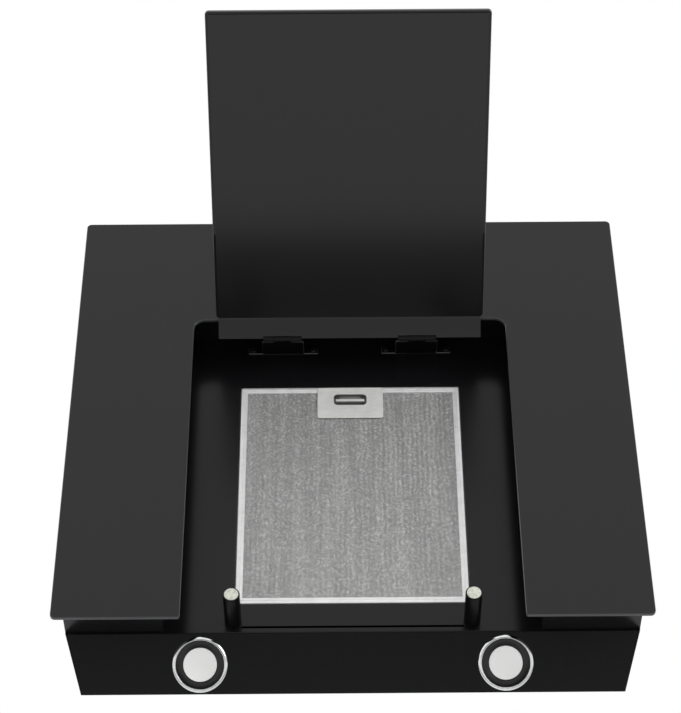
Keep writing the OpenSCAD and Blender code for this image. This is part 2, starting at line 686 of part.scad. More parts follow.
// ---- screws ----
module hinge_screws(r)
    for (x = [-hinge_x, hinge_x], s = [-1, 1])
        face() translate([x + s * (foot_w / 2 - 5), foot_y + 4, -floor_z - 5]) cylinder(r = r, h = 8);
module fixing_screws() color("#6f7276") {
    for (x = [-hinge_x, hinge_x], s = [-1, 1])
        face() translate([x + s * (foot_w / 2 - 5), foot_y + 4, -floor_z + 1.5]) {
            cylinder(r = 3.2, h = 1.6);
            translate([0, 0, -6]) cylinder(r = 1.9, h = 6);
        }
    for (a = [45:90:315])
        wall() translate([0, -blower_o, body_h + 1.5]) rotate([0, 0, a])
            translate([collar_in + collar_t + 7, 0, 0]) {
                cylinder(r = 3.5, h = 2);
                translate([0, 0, -7]) cylinder(r = 1.9, h = 7);
            }
    for (x = [3.5, 116.5], v = [3.5, 76.5])
        wall() translate([box_x + x, -box_o - 1.5, box_v + v]) rotate([90, 0, 0]) {
            cylinder(r = 3, h = 1.6);
            translate([0, 0, -8]) cylinder(r = 1.4, h = 8);
        }
    for (x = [-post_x, post_x])
        face() translate([x, post_y, -floor_z - sheet - 2]) {
            cylinder(r = 3.5, h = 2);
            cylinder(r = 1.45, h = 12);
        }
}

back_panel();
side_panel_left();
side_panel_right();
top_panel();
front_panel();
lamp_panel();
carrier_left();
carrier_right();
carrier_top();
glass_bond();
glass_front();
flap_glass();
flap_backing();
hinge_leaf_left();
hinge_leaf_right();
hinge_bracket_left();
hinge_bracket_right();
hinge_pin_left();
hinge_pin_right();
post_left();
post_right();
post_magnet_left();
post_magnet_right();
filter_tray();
filter_frame();
filter_mesh_front();
filter_mesh_back();
filter_core();
latch_plate();
latch_slider();
latch_spring();
lamp_ring_left();
lamp_ring_right();
lamp_reflector_left();
lamp_reflector_right();
lamp_lens_left();
lamp_lens_right();
lamp_body_left();
lamp_body_right();
lamp_board_left();
lamp_board_right();
lamp_clips();
blower_casing();
blower_inlets();
impeller();
motor_shaft();
motor_body();
motor_bracket();
mount_rubbers();
outlet_collar();
damper_front();
damper_rear();
damper_pins();
electronics_box();
electronics_lid();
control_board();
touch_board();
cable_gland();
capacitor();
fixing_screws();
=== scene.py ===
"""A wall range hood with a leaning glass face: its finishes, detailed pieces, light and camera."""

from __future__ import annotations

import json
import logging
import math
from dataclasses import dataclass, field
from enum import Enum

import bmesh
import bpy
import numpy as np
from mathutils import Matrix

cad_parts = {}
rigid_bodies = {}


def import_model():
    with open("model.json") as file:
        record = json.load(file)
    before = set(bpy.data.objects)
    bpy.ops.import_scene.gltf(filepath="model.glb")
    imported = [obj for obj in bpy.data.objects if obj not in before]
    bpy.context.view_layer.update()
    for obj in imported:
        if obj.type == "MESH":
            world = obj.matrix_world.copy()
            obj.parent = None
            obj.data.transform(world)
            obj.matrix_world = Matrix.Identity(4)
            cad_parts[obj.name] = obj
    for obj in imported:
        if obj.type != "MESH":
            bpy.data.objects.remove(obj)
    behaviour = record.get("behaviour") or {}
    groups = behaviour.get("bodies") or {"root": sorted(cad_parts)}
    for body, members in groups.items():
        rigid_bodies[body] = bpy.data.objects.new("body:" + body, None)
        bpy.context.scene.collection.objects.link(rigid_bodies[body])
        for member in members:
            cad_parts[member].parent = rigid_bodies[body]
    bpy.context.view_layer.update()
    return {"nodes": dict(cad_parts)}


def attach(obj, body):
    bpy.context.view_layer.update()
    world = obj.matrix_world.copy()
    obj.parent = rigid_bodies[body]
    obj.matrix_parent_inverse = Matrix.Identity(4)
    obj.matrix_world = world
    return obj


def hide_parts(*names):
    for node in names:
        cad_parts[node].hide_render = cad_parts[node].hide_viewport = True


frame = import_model()
LOG = logging.getLogger("range_hood")
MM = 0.001
Points = np.ndarray
Pair = tuple[float, float]
Triple = tuple[float, float, float]
Colour = Triple


# ---- axes ----


@dataclass(frozen=True)
class Axes:
    """A set of axes in the hood's own space.

    Args:
        matrix: 4 by 4 matrix from these axes to the hood's, in millimetres.
    """

    matrix: Points = field(default_factory=lambda: np.eye(4))

    def moved(self, x: float = 0.0, y: float = 0.0, z: float = 0.0) -> Axes:
        """These axes with their origin moved by (x, y, z) millimetres along themselves."""
        step = np.eye(4)
        step[:3, 3] = (x, y, z)
        return Axes(self.matrix @ step)

    def turned(self, degrees: float) -> Axes:
        """These axes turned about their own X by so many degrees."""
        angle = math.radians(degrees)
        turn = np.eye(4)
        turn[1:3, 1:3] = [[math.cos(angle), -math.sin(angle)], [math.sin(angle), math.cos(angle)]]
        return Axes(self.matrix @ turn)

    def place(self, points: Points) -> Points:
        """Points given in these axes, in millimetres, as rows of metres in the hood's space."""
        return (points.reshape(-1, 3) @ self.matrix[:3, :3].T + self.matrix[:3, 3]) * MM


@dataclass(frozen=True)
class Layout:
    """The driving sizes that every sub-assembly shares, in millimetres and degrees."""

    lean: float = 55.0
    wall_v: float = 300.16
    toe_y: float = 33.2247
    toe_z: float = 88.0336
    floor_z: float = 54.0
    crease_y: float = 18.0
    lamp_tilt: float = 33.6
    pivot_y: float = 378.055
    pivot_z: float = -13.5706
    open_angle: float = 109.4
    sheet: float = 1.0
    glass_t: float = 4.0
    post_x: float = 121.0
    post_y: float = 31.0
    blower_o: float = 104.879
    body_h: float = 438.16

    @property
    def wall(self) -> Axes:
        """Axes at the lower back corner."""
        return Axes().moved(z=-self.wall_v)

    @property
    def face(self) -> Axes:
        """X across, Y up along the glass from its lower edge, Z out of the glass."""
        return self.wall.turned(180 - self.lean).moved(y=self.toe_y, z=self.toe_z)

    @property
    def lamp(self) -> Axes:
        """The lamp panel's axes: Y up to the crease, Z out of the panel."""
        return self.face.moved(y=self.crease_y, z=-self.floor_z).turned(self.lamp_tilt)

    @property
    def flap(self) -> Axes:
        """Face axes swung open with the flap about its hinge."""
        hinge = self.face.moved(y=self.pivot_y, z=self.pivot_z)
        return hinge.turned(-self.open_angle).moved(y=-self.pivot_y, z=-self.pivot_z)


LAYOUT = Layout()


class Side(Enum):
    """Left and right of a person facing the hood."""

    LEFT = -1
    RIGHT = 1

    @property
    def word(self) -> str:
        """The side's name in lower case."""
        return self.name.lower()


# ---- shader expressions ----


class Value:
    """One output socket in an expression. Its operators add Math nodes to the same tree."""

    def __init__(self, shader: Shader, socket: bpy.types.NodeSocket) -> None:
        """Wraps a socket of a shader's tree."""
        self.shader = shader
        self.socket = socket

    def math(self, operation: str, *others: Value | float) -> Value:
        """A Math node of this value and its other inputs in order."""
        return self.shader.out("Math", {"operation": operation}, dict(enumerate((self, *others))))

    def __add__(self, other: Value | float) -> Value:
        """This plus other."""
        return self.math("ADD", other)

    __radd__ = __add__

    def __sub__(self, other: Value | float) -> Value:
        """This less other."""
        return self.math("SUBTRACT", other)

    def __rsub__(self, other: Value | float) -> Value:
        """Other less this."""
        return self.math("MULTIPLY_ADD", -1.0, other)

    def __mul__(self, other: Value | float) -> Value:
        """This times other."""
        return self.math("MULTIPLY", other)

    __rmul__ = __mul__

    def __abs__(self) -> Value:
        """This without its sign."""
        return self.math("ABSOLUTE")

    def cosine(self) -> Value:
        """Cosine of this, in radians."""
        return self.math("COSINE")

    def ramp(self, low: float, high: float) -> Value:
        """Nought at low, one at high, smooth between and level outside."""
        return self.shader.out(
            "MapRange", {"interpolation_type": "SMOOTHSTEP"}, {"Value": self, "From Min": low, "From Max": high}
        )


class Shader:
    """The node tree of one material."""

    def __init__(self, name: str) -> None:
        """Starts an empty material of that name."""
        self.material = bpy.data.materials.new(name)
        self.material.use_nodes = True
        self.tree = self.material.node_tree
        self.tree.nodes.clear()

    def node(self, kind: str, settings: dict | None = None, inputs: dict | None = None) -> bpy.types.Node:
        """Adds any node.

        Args:
            kind: the node's type without its ShaderNode prefix.
            settings: its own settings, set first.
            inputs: socket name or number to a value or a link.

        Returns:
            The node.
        """
        node = self.tree.nodes.new("ShaderNode" + kind)
        for key, setting in (settings or {}).items():
            setattr(node, key, setting)
        for key, given in (inputs or {}).items():
            if isinstance(given, Value):
                self.tree.links.new(given.socket, node.inputs[key])
            else:
                node.inputs[key].default_value = given
        return node

    def out(
        self, kind: str, settings: dict | None = None, inputs: dict | None = None, output: int | str = 0
    ) -> Value:
        """Adds any node and gives one of its outputs as a value."""
        return Value(self, self.node(kind, settings, inputs).outputs[output])

    def place(self, stretch: Colour = (1.0, 1.0, 1.0), lean: float = 0.0) -> Value:
        """Object coordinates, turned about X by lean degrees and stretched along each axis."""
        spot = self.out("TexCoord", output="Object")
        turn = (math.radians(lean), 0.0, 0.0)
        turned = self.out("Mapping", {"vector_type": "POINT"}, {"Vector": spot, "Rotation": turn})
        return self.out("Mapping", {"vector_type": "POINT"}, {"Vector": turned, "Scale": stretch})

    def noise(self, size: float, detail: float = 3.0, spot: Value | None = None) -> Value:
        """Noise from 0 to 1 whose blotches are about size millimetres across."""
        inputs = {"Vector": spot or self.place(), "Scale": 1 / (size * MM), "Detail": detail}
        return self.out("TexNoise", None, inputs)

    def cells(self, size: float, spot: Value | None = None, output: str = "Color") -> Value:
        """Cells about size millimetres across, as a grey per cell or a distance."""
        inputs = {"Vector": spot or self.place(), "Scale": 1 / (size * MM)}
        return self.out("TexVoronoi", None, inputs, output)

    def blend(self, factor: Value, low: Colour, high: Colour | Value) -> Value:
        """A colour that goes from low to high with factor."""
        ends = {0: factor, 6: (*low, 1.0), 7: high if isinstance(high, Value) else (*high, 1.0)}
        return self.out("Mix", {"data_type": "RGBA"}, ends, 2)

    def bump(self, height: Value, depth: float) -> Value:
        """A normal from a height of 0 to 1 that stands for depth millimetres."""
        return self.out("Bump", None, {"Height": height, "Distance": depth * MM, "Strength": 1.0}, "Normal")


# ---- finishes ----


def shade(colour: Colour, by: float) -> Colour:
    """A colour made lighter or darker by a factor."""
    return (min(1.0, colour[0] * by), min(1.0, colour[1] * by), min(1.0, colour[2] * by))


@dataclass(frozen=True)
class Finish:
    """A surface finish. Its kinds differ in what they draw over the surface.

    Args:
        name: the material's name.
        slot: the record's slot that it stands for; not used.
        colour: linear base colour.
        rough: middle roughness.
        metal: metallic share.
        gloss: specular level.
        grain: size of its grain in millimetres.
        relief: depth of its grain in millimetres.
        lean: turn of the pattern about X in degrees.
        glow: strength of painted light, an emission that stands in for daylight coming through the part while
            its lamp is off.
    """

    name: str
    slot: str
    colour: Colour
    rough: float = 0.5
    metal: float = 0.0
    gloss: float = 0.5
    grain: float = 1.0
    relief: float = 0.02
    lean: float = 0.0
    glow: float = 0.0

    def look(self, tone: Value, low: float, high: float, sheen: Value, height: Value) -> dict[str, Value]:
        """The three links that most kinds make.

        Args:
            tone: where the colour lies, 0 to 1.
            low: factor on the colour at 0.
            high: factor on the colour at 1.
            sheen: factor on the roughness.
            height: height of the relief, 0 to 1.

        Returns:
            Socket name to link.
        """
        return {
            "Base Color": tone.shader.blend(tone, shade(self.colour, low), shade(self.colour, high)),
            "Roughness": self.rough * sheen,
            "Normal": tone.shader.bump(height, self.relief),
        }

    def surface(self, shader: Shader) -> dict[str, Value]:
        """Fine grain with soft blotches in colour and sheen.

        Args:
            shader: the tree that it is drawn in.

        Returns:
            Socket name to link.
        """
        grain = shader.noise(self.grain, 2.0)
        tone = (shader.noise(38.0, 2.0) * 0.55 + grain * 0.45).ramp(0.25, 0.75)
        return self.look(tone, 0.86, 1.14, 0.88 + 0.24 * tone, grain)

    def material(self) -> bpy.types.Material:
        """The finish's material, made once."""
        name = f"finish_{self.name}"
        known = bpy.data.materials.get(name)
        if known:
            return known
        shader = Shader(name)
        inputs = {
            "Base Color": (*self.colour, 1.0),
            "Roughness": self.rough,
            "Metallic": self.metal,
            "Specular IOR Level": self.gloss,
            "Emission Color": (*self.colour, 1.0),
            "Emission Strength": self.glow,
            **self.surface(shader),
        }
        shell = shader.out("BsdfPrincipled", None, inputs, "BSDF")
        shader.node("OutputMaterial", None, {"Surface": shell})
        shader.material.diffuse_color = (*self.colour, 1.0)
        return shader.material

    def dress(self, *nodes: str) -> None:
        """Gives the finish to CAD nodes that keep their shape."""
        for name in nodes:
            mesh = frame["nodes"][name].data
            mesh.materials.clear()
            mesh.materials.append(self.material())


class Seamless(Finish):
    """Matt studio paper."""

    def surface(self, shader: Shader) -> dict[str, Value]:
        """Hardly visible tooth and cloudiness."""
        cloud = shader.noise(900.0, 2.0)
        tooth = shader.noise(self.grain, 2.0)
        return {
            "Base Color": shader.blend(cloud, shade(self.colour, 0.99), shade(self.colour, 1.01)),
            "Roughness": self.rough * (0.96 + 0.08 * tooth),
        }


class Glass(Finish):
    """Black glass with faint wiped smears in its sheen."""

    def surface(self, shader: Shader) -> dict[str, Value]:
        """Long soft smears, a few specks of dust, and a very slight waviness."""
        smear = shader.noise(46.0, 4.0, shader.place((1.0, 0.35, 0.35), 20.0)).ramp(0.46, 0.78)
        dust = shader.noise(1.1, 1.0).ramp(0.74, 0.8)
        sheen = 1.0 + 0.055 / self.rough * smear + 0.2 / self.rough * dust
        return self.look(smear * 0.5 + dust, 1.0, 2.4, sheen, shader.noise(160.0, 1.0))


class Powder(Finish):
    """Powder-coated or painted sheet with orange peel."""

    def surface(self, shader: Shader) -> dict[str, Value]:
        """Orange peel of grain size under finer pits, with the sheen uneven from sprayed thickness."""
        peel = shader.noise(self.grain * 2.2, 1.0)
        pit = shader.noise(self.grain * 0.5, 2.0)
        drift = shader.noise(90.0, 2.0).ramp(0.3, 0.7)
        tone = pit.ramp(0.66, 0.76) * 0.8 + pit * 0.2
        return self.look(tone, 1.0, 2.0, 0.88 + 0.1 * drift + 0.24 * pit, peel * 0.75 + pit * 0.25)


class Spangle(Finish):
    """Hot-dip zinc with crystal cells."""

    def surface(self, shader: Shader) -> dict[str, Value]:
        """Each crystal cell has its own tone and sheen; a fine haze lies over them."""
        cell = shader.out("SeparateColor", None, {0: shader.cells(5.5)}, 0)
        fern = shader.noise(1.6, 3.0, shader.place((1.0, 3.0, 1.0)))
        haze = shader.noise(26.0, 3.0)
        tone = (cell * 0.6 + haze * 0.28 + fern * 0.12).ramp(0.12, 0.85)
        return self.look(tone, 0.88, 1.08, 0.78 + 0.44 * tone, cell * 0.5 + fern * 0.5)


class Brushed(Finish):
    """Metal with fine drawn lines."""

    def surface(self, shader: Shader) -> dict[str, Value]:
        """Lines of grain width, many times as long across X, broken up by a coarser drift."""
        line = shader.noise(self.grain, 2.0, shader.place((0.03, 1.0, 1.0), self.lean))
        drift = shader.noise(17.0, 3.0)
        scuff = shader.noise(2.6, 4.0).ramp(0.6, 0.78)
        tone = (line * 0.62 + drift * 0.38).ramp(0.28, 0.72)
        sheen = 0.82 + 0.3 * tone + 0.1 / self.rough * scuff
        return self.look(tone, 0.87, 1.09, sheen, line)


class Expanded(Finish):
    """Expanded aluminium foil: staggered diamond openings between thin slanting strands."""

    def surface(self, shader: Shader) -> dict[str, Value]:
        """Strands lie where the cosines along and across the sheet cancel; crumpling jogs the lattice.

        The lattice is cos(across) + cos(along), whose level lines are diamonds with staggered centres. The
        openings are painted nearly black, as painted shade of the depth behind them, and the glints are painted
        highlights in the colour.
        """
        spot = shader.place(lean=self.lean)
        jog = shader.noise(2.2, 3.0, spot)
        axes = shader.node("SeparateXYZ", None, {0: spot})
        across = (Value(shader, axes.outputs[0]) * (1 / (self.grain * MM)) + 0.9 * jog) * math.tau
        along = (Value(shader, axes.outputs[1]) * (1 / (self.grain * 1.55 * MM)) + 0.7 * jog) * math.tau
        hole = abs(across.cosine() + along.cosine()).ramp(0.7, 1.7)
        crush = shader.noise(2.6, 4.0, shader.place((1.0, 0.45, 1.0), self.lean))
        # Glints are painted highlights: small bright specks in the base colour.
        glint = shader.noise(1.5, 2.0, spot).ramp(0.47, 0.66)
        pleats = shader.noise(9.0, 1.0, shader.place((1.0, 0.05, 1.0), self.lean)).ramp(0.35, 0.65)
        tone = (crush * 0.5 + glint * 0.55 + pleats * 0.14).ramp(0.2, 1.0)
        metal = shader.blend(tone, shade(self.colour, 0.62), shade(self.colour, 1.32))
        return {
            # The openings are painted nearly black: painted shade for the depth seen through them.
            "Base Color": shader.blend(1 - 0.75 * hole, shade(self.colour, 0.12), metal),
            "Roughness": self.rough * (0.75 + 0.5 * crush),
            "Normal": shader.bump(crush * 1.2 - hole, self.relief),
        }


class Mottled(Finish):
    """A dull metal face with worn, blotchy plating."""

    def surface(self, shader: Shader) -> dict[str, Value]:
        """Plating blotches of grain size, darker pores, and sheen that follows them."""
        blotch = shader.noise(self.grain, 4.0).ramp(0.34, 0.66)
        pore = shader.noise(self.grain * 0.24, 2.0).ramp(0.56, 0.72)
        height = blotch * 0.6 + pore * 0.4
        return self.look(blotch * 0.8 + pore * 0.5, 1.12, 0.8, 0.8 + 0.4 * blotch, height)


class Circuit(Finish):
    """A printed board: solder mask over copper tracks, with pads."""

    def surface(self, shader: Shader) -> dict[str, Value]:
        """Tracks run where a stretched cell border is near; pads are the middles of small cells."""
        edge = shader.out(
            "TexVoronoi",
            {"feature": "DISTANCE_TO_EDGE"},
            {"Vector": shader.place((1.0, 0.3, 0.3)), "Scale": 1 / (self.grain * MM)},
        )
        track = 1 - edge.ramp(0.03, 0.06)
        pad = 1 - shader.cells(self.grain * 0.7, output="Distance").ramp(0.1, 0.16)
        wear = shader.noise(9.0, 3.0)
        mask = shader.blend(track, self.colour, shade(self.colour, 1.8))
        return {
            "Base Color": shader.blend(1 - pad, (0.72, 0.68, 0.6), mask),
            "Roughness": self.rough * (0.8 + 0.4 * wear),
            "Metallic": pad * 0.8,
            "Normal": shader.bump(track * 0.4 + pad * 0.6, self.relief),
        }


class Sand(Finish):
    """Sand-textured casting or moulding."""

    def surface(self, shader: Shader) -> dict[str, Value]:
        """Rounded grains of two sizes, darker in the pits between them."""
        coarse = shader.cells(self.grain * 2.0, output="Distance")
        fine = shader.noise(self.grain, 4.0)
        stain = shader.noise(60.0, 3.0).ramp(0.35, 0.7)
        height = coarse * 0.4 + fine * 0.6
        return self.look(height * 0.7 + stain * 0.3, 0.72, 1.15, 0.85 + 0.3 * fine, height)


BLACK_GLASS = Glass("black_glass", "black_glass", (0.0011, 0.001, 0.0016), 0.035, gloss=0.42, relief=0.06)
GLASS_EDGE = Finish("glass_edge", "black_glass", (0.052, 0.055, 0.06), 0.3, grain=0.6, relief=0.01)
SIDE_PAINT = Powder(
    "side_paint", "black_paint", (0.0062, 0.0064, 0.007), 0.42, gloss=0.34, grain=0.9, relief=0.035
)
FLOOR_PAINT = Powder("floor_paint", "black_paint", (0.005, 0.005, 0.0058), 0.2, gloss=0.28, relief=0.004)
LAMP_PAINT = Powder("lamp_paint", "black_paint", (0.0038, 0.004, 0.0046), 0.25, gloss=0.2, relief=0.008)
BACKING_PAINT = Powder(
    "backing_paint", "backing_paint", (0.0024, 0.0024, 0.0028), 0.17, grain=0.8, relief=0.003
)
HINGE_PAINT = Powder(
    "hinge_paint", "black_paint", (0.0024, 0.0025, 0.003), 0.3, gloss=0.2, grain=0.7, relief=0.01
)
ZINC_SHEET = Spangle("zinc_sheet", "galvanised", (0.47, 0.48, 0.49), 0.42, 1.0, relief=0.008)
BONDING = Finish("bonding", "bonding", (0.02, 0.021, 0.023), 0.7, grain=0.7, relief=0.05)
BRIGHT_STEEL = Brushed("bright_steel", "bright_steel", (0.58, 0.59, 0.6), 0.3, 1.0, grain=0.25, relief=0.006)
# The hinge's arris faces are coloured far lighter than its black paint: painted highlights along its edges.
HINGE_EDGE_HIGHLIGHT = Finish("hinge_edge_highlight", "black_paint", (0.075, 0.075, 0.078), 0.3, grain=0.5, relief=0.01)
SCREW_BLACK = Brushed("screw_black", "bright_steel", (0.012, 0.012, 0.013), 0.4, 0.3, grain=0.3, relief=0.01)
POST_PLASTIC = Finish("post_plastic", "post_plastic", (0.0032, 0.0033, 0.0033), 0.3, gloss=0.14, grain=0.5)
MAGNET = Mottled("magnet_face", "magnet", (0.68, 0.69, 0.6), 0.42, 0.2, grain=3.0, relief=0.006)
FRAME_METAL = Brushed(
    "frame_metal", "filter_frame", (0.93, 0.93, 0.93), 0.32, 0.3, grain=0.35, relief=0.004, lean=-55.0
)
MESH_METAL = Expanded(
    "mesh_metal", "filter_mesh", (0.6, 0.6, 0.595), 0.42, 0.35, grain=1.7, relief=0.2, lean=55.0
)
# The inner filter layers: the coarser grain is real, and the halved colour is painted shade behind the front
# mesh.
SHADED_CORE_METAL = Expanded("core_metal_shaded", "filter_mesh", (0.3, 0.3, 0.3), 0.5, 0.8, grain=3.4, relief=0.3, lean=55.0)
LATCH_STEEL = Brushed(
    "latch_steel", "latch_steel", (0.93, 0.93, 0.9), 0.34, 0.3, grain=0.3, relief=0.003, lean=-55.0
)
# A darker copy of the latch steel for the pocket and the bar hidden in it: painted shade inside the pocket.
SHADED_POCKET_STEEL = Brushed(
    "pocket_steel_shaded", "latch_steel", (0.3, 0.3, 0.29), 0.4, 0.4, grain=0.3, relief=0.003, lean=-55.0
)
CHROME = Finish("lamp_chrome", "lamp_chrome", (0.83, 0.84, 0.85), 0.08, 1.0, grain=3.0, relief=0.0002)
LAMP_BLACK = Finish(
    "lamp_black", "lamp_black", (0.006, 0.006, 0.0065), 0.24, gloss=0.45, grain=0.5, relief=0.01
)
# The lens glows faintly with painted light: the lamp is off, and the emission stands in for daylight through
# its frosted diffuser.
LENS = Finish(
    "lamp_lens", "lamp_lens", (0.93, 0.93, 0.915), 0.38, gloss=0.4, grain=0.35, relief=0.012, glow=0.13
)
CASTING = Sand("cast_housing", "cast_housing", (0.42, 0.43, 0.44), 0.5, 0.9, grain=0.8, relief=0.05)
BOARD = Circuit("circuit_board", "board", (0.012, 0.075, 0.032), 0.38, grain=6.0, relief=0.05)
IMPELLER = Spangle("impeller_zinc", "impeller", (0.42, 0.43, 0.44), 0.4, 1.0, relief=0.006)
RUBBER = Finish("mount_rubber", "rubber", (0.018, 0.018, 0.018), 0.78, gloss=0.3, grain=0.4, relief=0.03)
DAMPER = Sand("damper_plastic", "damper", (0.028, 0.029, 0.03), 0.55, grain=0.4, relief=0.02)
BOX_PLASTIC = Sand("box_plastic", "box_plastic", (0.58, 0.58, 0.55), 0.5, grain=0.35, relief=0.02)
GLAND = Sand("gland_plastic", "gland_plastic", (0.02, 0.021, 0.022), 0.48, grain=0.3, relief=0.015)
CAPACITOR = Finish("capacitor_case", "capacitor_case", (0.6, 0.61, 0.62), 0.3, 0.7, grain=0.6, relief=0.01)


# ---- outlines and solids ----


def arc(x: float, y: float, radius: float, start: float, sweep: float, count: int) -> Points:
    """Points round part of a circle, the angle going evenly from start through sweep degrees."""
    angle = np.radians(start + np.linspace(0.0, sweep, count))
    return np.stack([x + radius * np.cos(angle), y + radius * np.sin(angle)], axis=1)


def oblong(x0: float, x1: float, y0: float, y1: float) -> Points:
    """A rectangle's four corners, anticlockwise."""
    return np.array([[x0, y0], [x1, y0], [x1, y1], [x0, y1]], dtype=float)


def rounded_box(x: float, y0: float, y1: float, radius: float, count: int = 9) -> Points:
    """A rectangle from -x to x and y0 to y1, anticlockwise, with a quarter circle at each corner."""
    centres = oblong(-x + radius, x - radius, y0 + radius, y1 - radius)[[1, 2, 3, 0]]
    return np.concatenate([arc(*at, radius, 90.0 * turn, 90.0, count) for turn, at in enumerate(centres, -1)])


def inset(outline: Points, distance: float) -> Points:
    """An outline moved inwards: each point goes along the mitre of its two sides' normals.

    Args:
        outline: points of (x, y), anticlockwise.
        distance: how far each side moves.

    Returns:
        The smaller outline.
    """
    after = np.roll(outline, -1, axis=0) - outline
    after /= np.linalg.norm(after, axis=1, keepdims=True)
    both = after + np.roll(after, 1, axis=0)
    normal = np.stack([-both[:, 1], both[:, 0]], axis=1)
    return outline + distance * 2.0 * normal / np.linalg.norm(normal, axis=1, keepdims=True) ** 2


def level(outline: Points, z: float) -> Points:
    """A flat outline set at height z."""
    return np.column_stack([outline, np.full(len(outline), z)])


def around(count: int) -> Points:
    """So many angles, evenly round a circle."""
    return np.linspace(0.0, math.tau, count, endpoint=False)


def ring(radius: Points | float, z: float, count: int) -> Points:
    """Points about Z at height z, the radius being one for all or one for each angle."""
    angle = around(count)
    return level(np.column_stack([np.cos(angle), np.sin(angle)]) * np.full(count, radius)[:, None], z)


def hexagon(flat: float, count: int) -> Points:
    """A hexagon's radius all round: the distance to its flat over the cosine of the angle from there."""
    sixth = math.tau / 6
    return flat / np.cos(np.mod(around(count), sixth) - sixth / 2)


def add(name: str, data: bpy.types.ID) -> bpy.types.Object:
    """A new object in the scene.

    Args:
        name: its name.
        data: its mesh, light or camera.

    Returns:
        The object.
    """
    thing = bpy.data.objects.new(name, data)
    bpy.context.scene.collection.objects.link(thing)
    return thing


class Solid:
    """A piece being gathered from surfaces, in millimetres in one set of axes."""

    def __init__(self) -> None:
        """Starts with nothing."""
        self.points: list[Points] = []
        self.faces: list[list[int]] = []
        self.tones: list[int] = []
        self.total = 0

    def keep(self, points: Points) -> int:
        """Adds points.

        Args:
            points: any array whose rows end in x, y and z.

        Returns:
            The number of the first.
        """
        start = self.total
        self.points.append(points.reshape(-1, 3))
        self.total += len(self.points[-1])
        return start

    def net(self, grid: Points, closed: bool = False, tone: int = 0) -> None:
        """Quads over a grid of points.

        Args:
            grid: rows by columns by 3.
            closed: joins the last column to the first.
            tone: number of the finish in the piece's list.
        """
        rows, columns = grid.shape[:2]
        index = np.arange(rows * columns).reshape(rows, columns) + self.keep(grid)
        if closed:
            index = np.concatenate([index, index[:, :1]], axis=1)
        corners = [index[:-1, :-1], index[:-1, 1:], index[1:, 1:], index[1:, :-1]]
        quads = np.stack(corners, axis=-1).reshape(-1, 4).tolist()
        self.faces += quads
        self.tones += [tone] * len(quads)

    def cap(self, edge: Points, tone: int = 0) -> None:
        """One flat face across a ring of points.

        Args:
            edge: the ring.
            tone: number of the finish in the piece's list.
        """
        start = self.keep(edge)
        self.faces.append(list(range(start, start + len(edge))))
        self.tones.append(tone)

    def loft(self, rings: list[Points], rim: int = 0, flat: int = 0, caps: bool = True) -> None:
        """Closed rings joined in order, with a flat face at each end.

        Args:
            rings: rings of the same number of points.
            rim: finish number of the bands between rings.
            flat: finish number of the flat faces.
            caps: closes both ends with flat faces.
        """
        for low, high in zip(rings[:-1], rings[1:]):
            self.net(np.stack([low, high]), closed=True, tone=rim)
        if caps:
            self.cap(rings[0][::-1], flat)
            self.cap(rings[-1], flat)

    def plate(self, outline: Points, z0: float, z1: float, arris: float, flat: int = 0) -> None:
        """A flat plate whose edges are taken off by a small arris, drawn as four rings of its outline.

        Args:
            outline: its outline, anticlockwise.
            z0: height of its back.
            z1: height of its front.
            arris: width taken off each edge.
            flat: finish number of its back and front; its edges have the second finish.
        """
        small = inset(outline, arris)
        rings = [level(small, z0), level(outline, z0 + arris), level(outline, z1 - arris), level(small, z1)]
        self.loft(rings, rim=1, flat=flat)

    def mesh(self, name: str, axes: Axes) -> bpy.types.Mesh:
        """The surfaces as one mesh, with doubles joined and faces turned outwards.

        Args:
            name: its name.
            axes: the axes that the points are in.

        Returns:
            The mesh.
        """
        mesh = bpy.data.meshes.new(name)
        mesh.from_pydata(axes.place(np.concatenate(self.points)).tolist(), [], self.faces)
        mesh.polygons.foreach_set("material_index", self.tones)
        joined = bmesh.new()
        joined.from_mesh(mesh)
        bmesh.ops.remove_doubles(joined, verts=joined.verts, dist=0.002 * MM)
        bmesh.ops.dissolve_degenerate(joined, edges=joined.edges, dist=0.0005 * MM)
        bmesh.ops.recalc_face_normals(joined, faces=joined.faces)
        joined.to_mesh(mesh)
        joined.free()
        return mesh

    def finish(
        self,
        name: str,
        axes: Axes,
        finishes: list[Finish],
        node: str = "",
        body: str = "housing",
        crisp: float = 32.0,
        bevel: float = 0.0,
        cutters: tuple[bpy.types.Object, ...] = (),
    ) -> None:
        """Makes the piece: cuts, smooths, dresses and rides.

        Args:
            name: the piece's name.
            axes: the axes that its points are in.
            finishes: its finishes, the first also naming its slot.
            node: CAD node that it stands for.
            body: the body that it moves with.
            crisp: angle in degrees past which an edge stays sharp.
            bevel: width in millimetres of a small bevel on its edges.
            cutters: closed pieces taken away from it, then removed.
        """
        piece = add(name, self.mesh(name, axes))
        for finish in finishes:
            piece.data.materials.append(finish.material())
        for tool in cutters:
            carve(piece, tool)
        if bevel:
            edge = piece.modifiers.new("edge", "BEVEL")
            edge.width = bevel * MM
            edge.segments = 2
            edge.limit_method = "ANGLE"
            edge.angle_limit = math.radians(35.0)
        piece.data.shade_smooth()
        piece.data.set_sharp_from_angle(angle=math.radians(crisp))
        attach(piece, body)
        if node:
            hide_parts(node)
        LOG.info("%s: %d faces", name, len(piece.data.polygons))


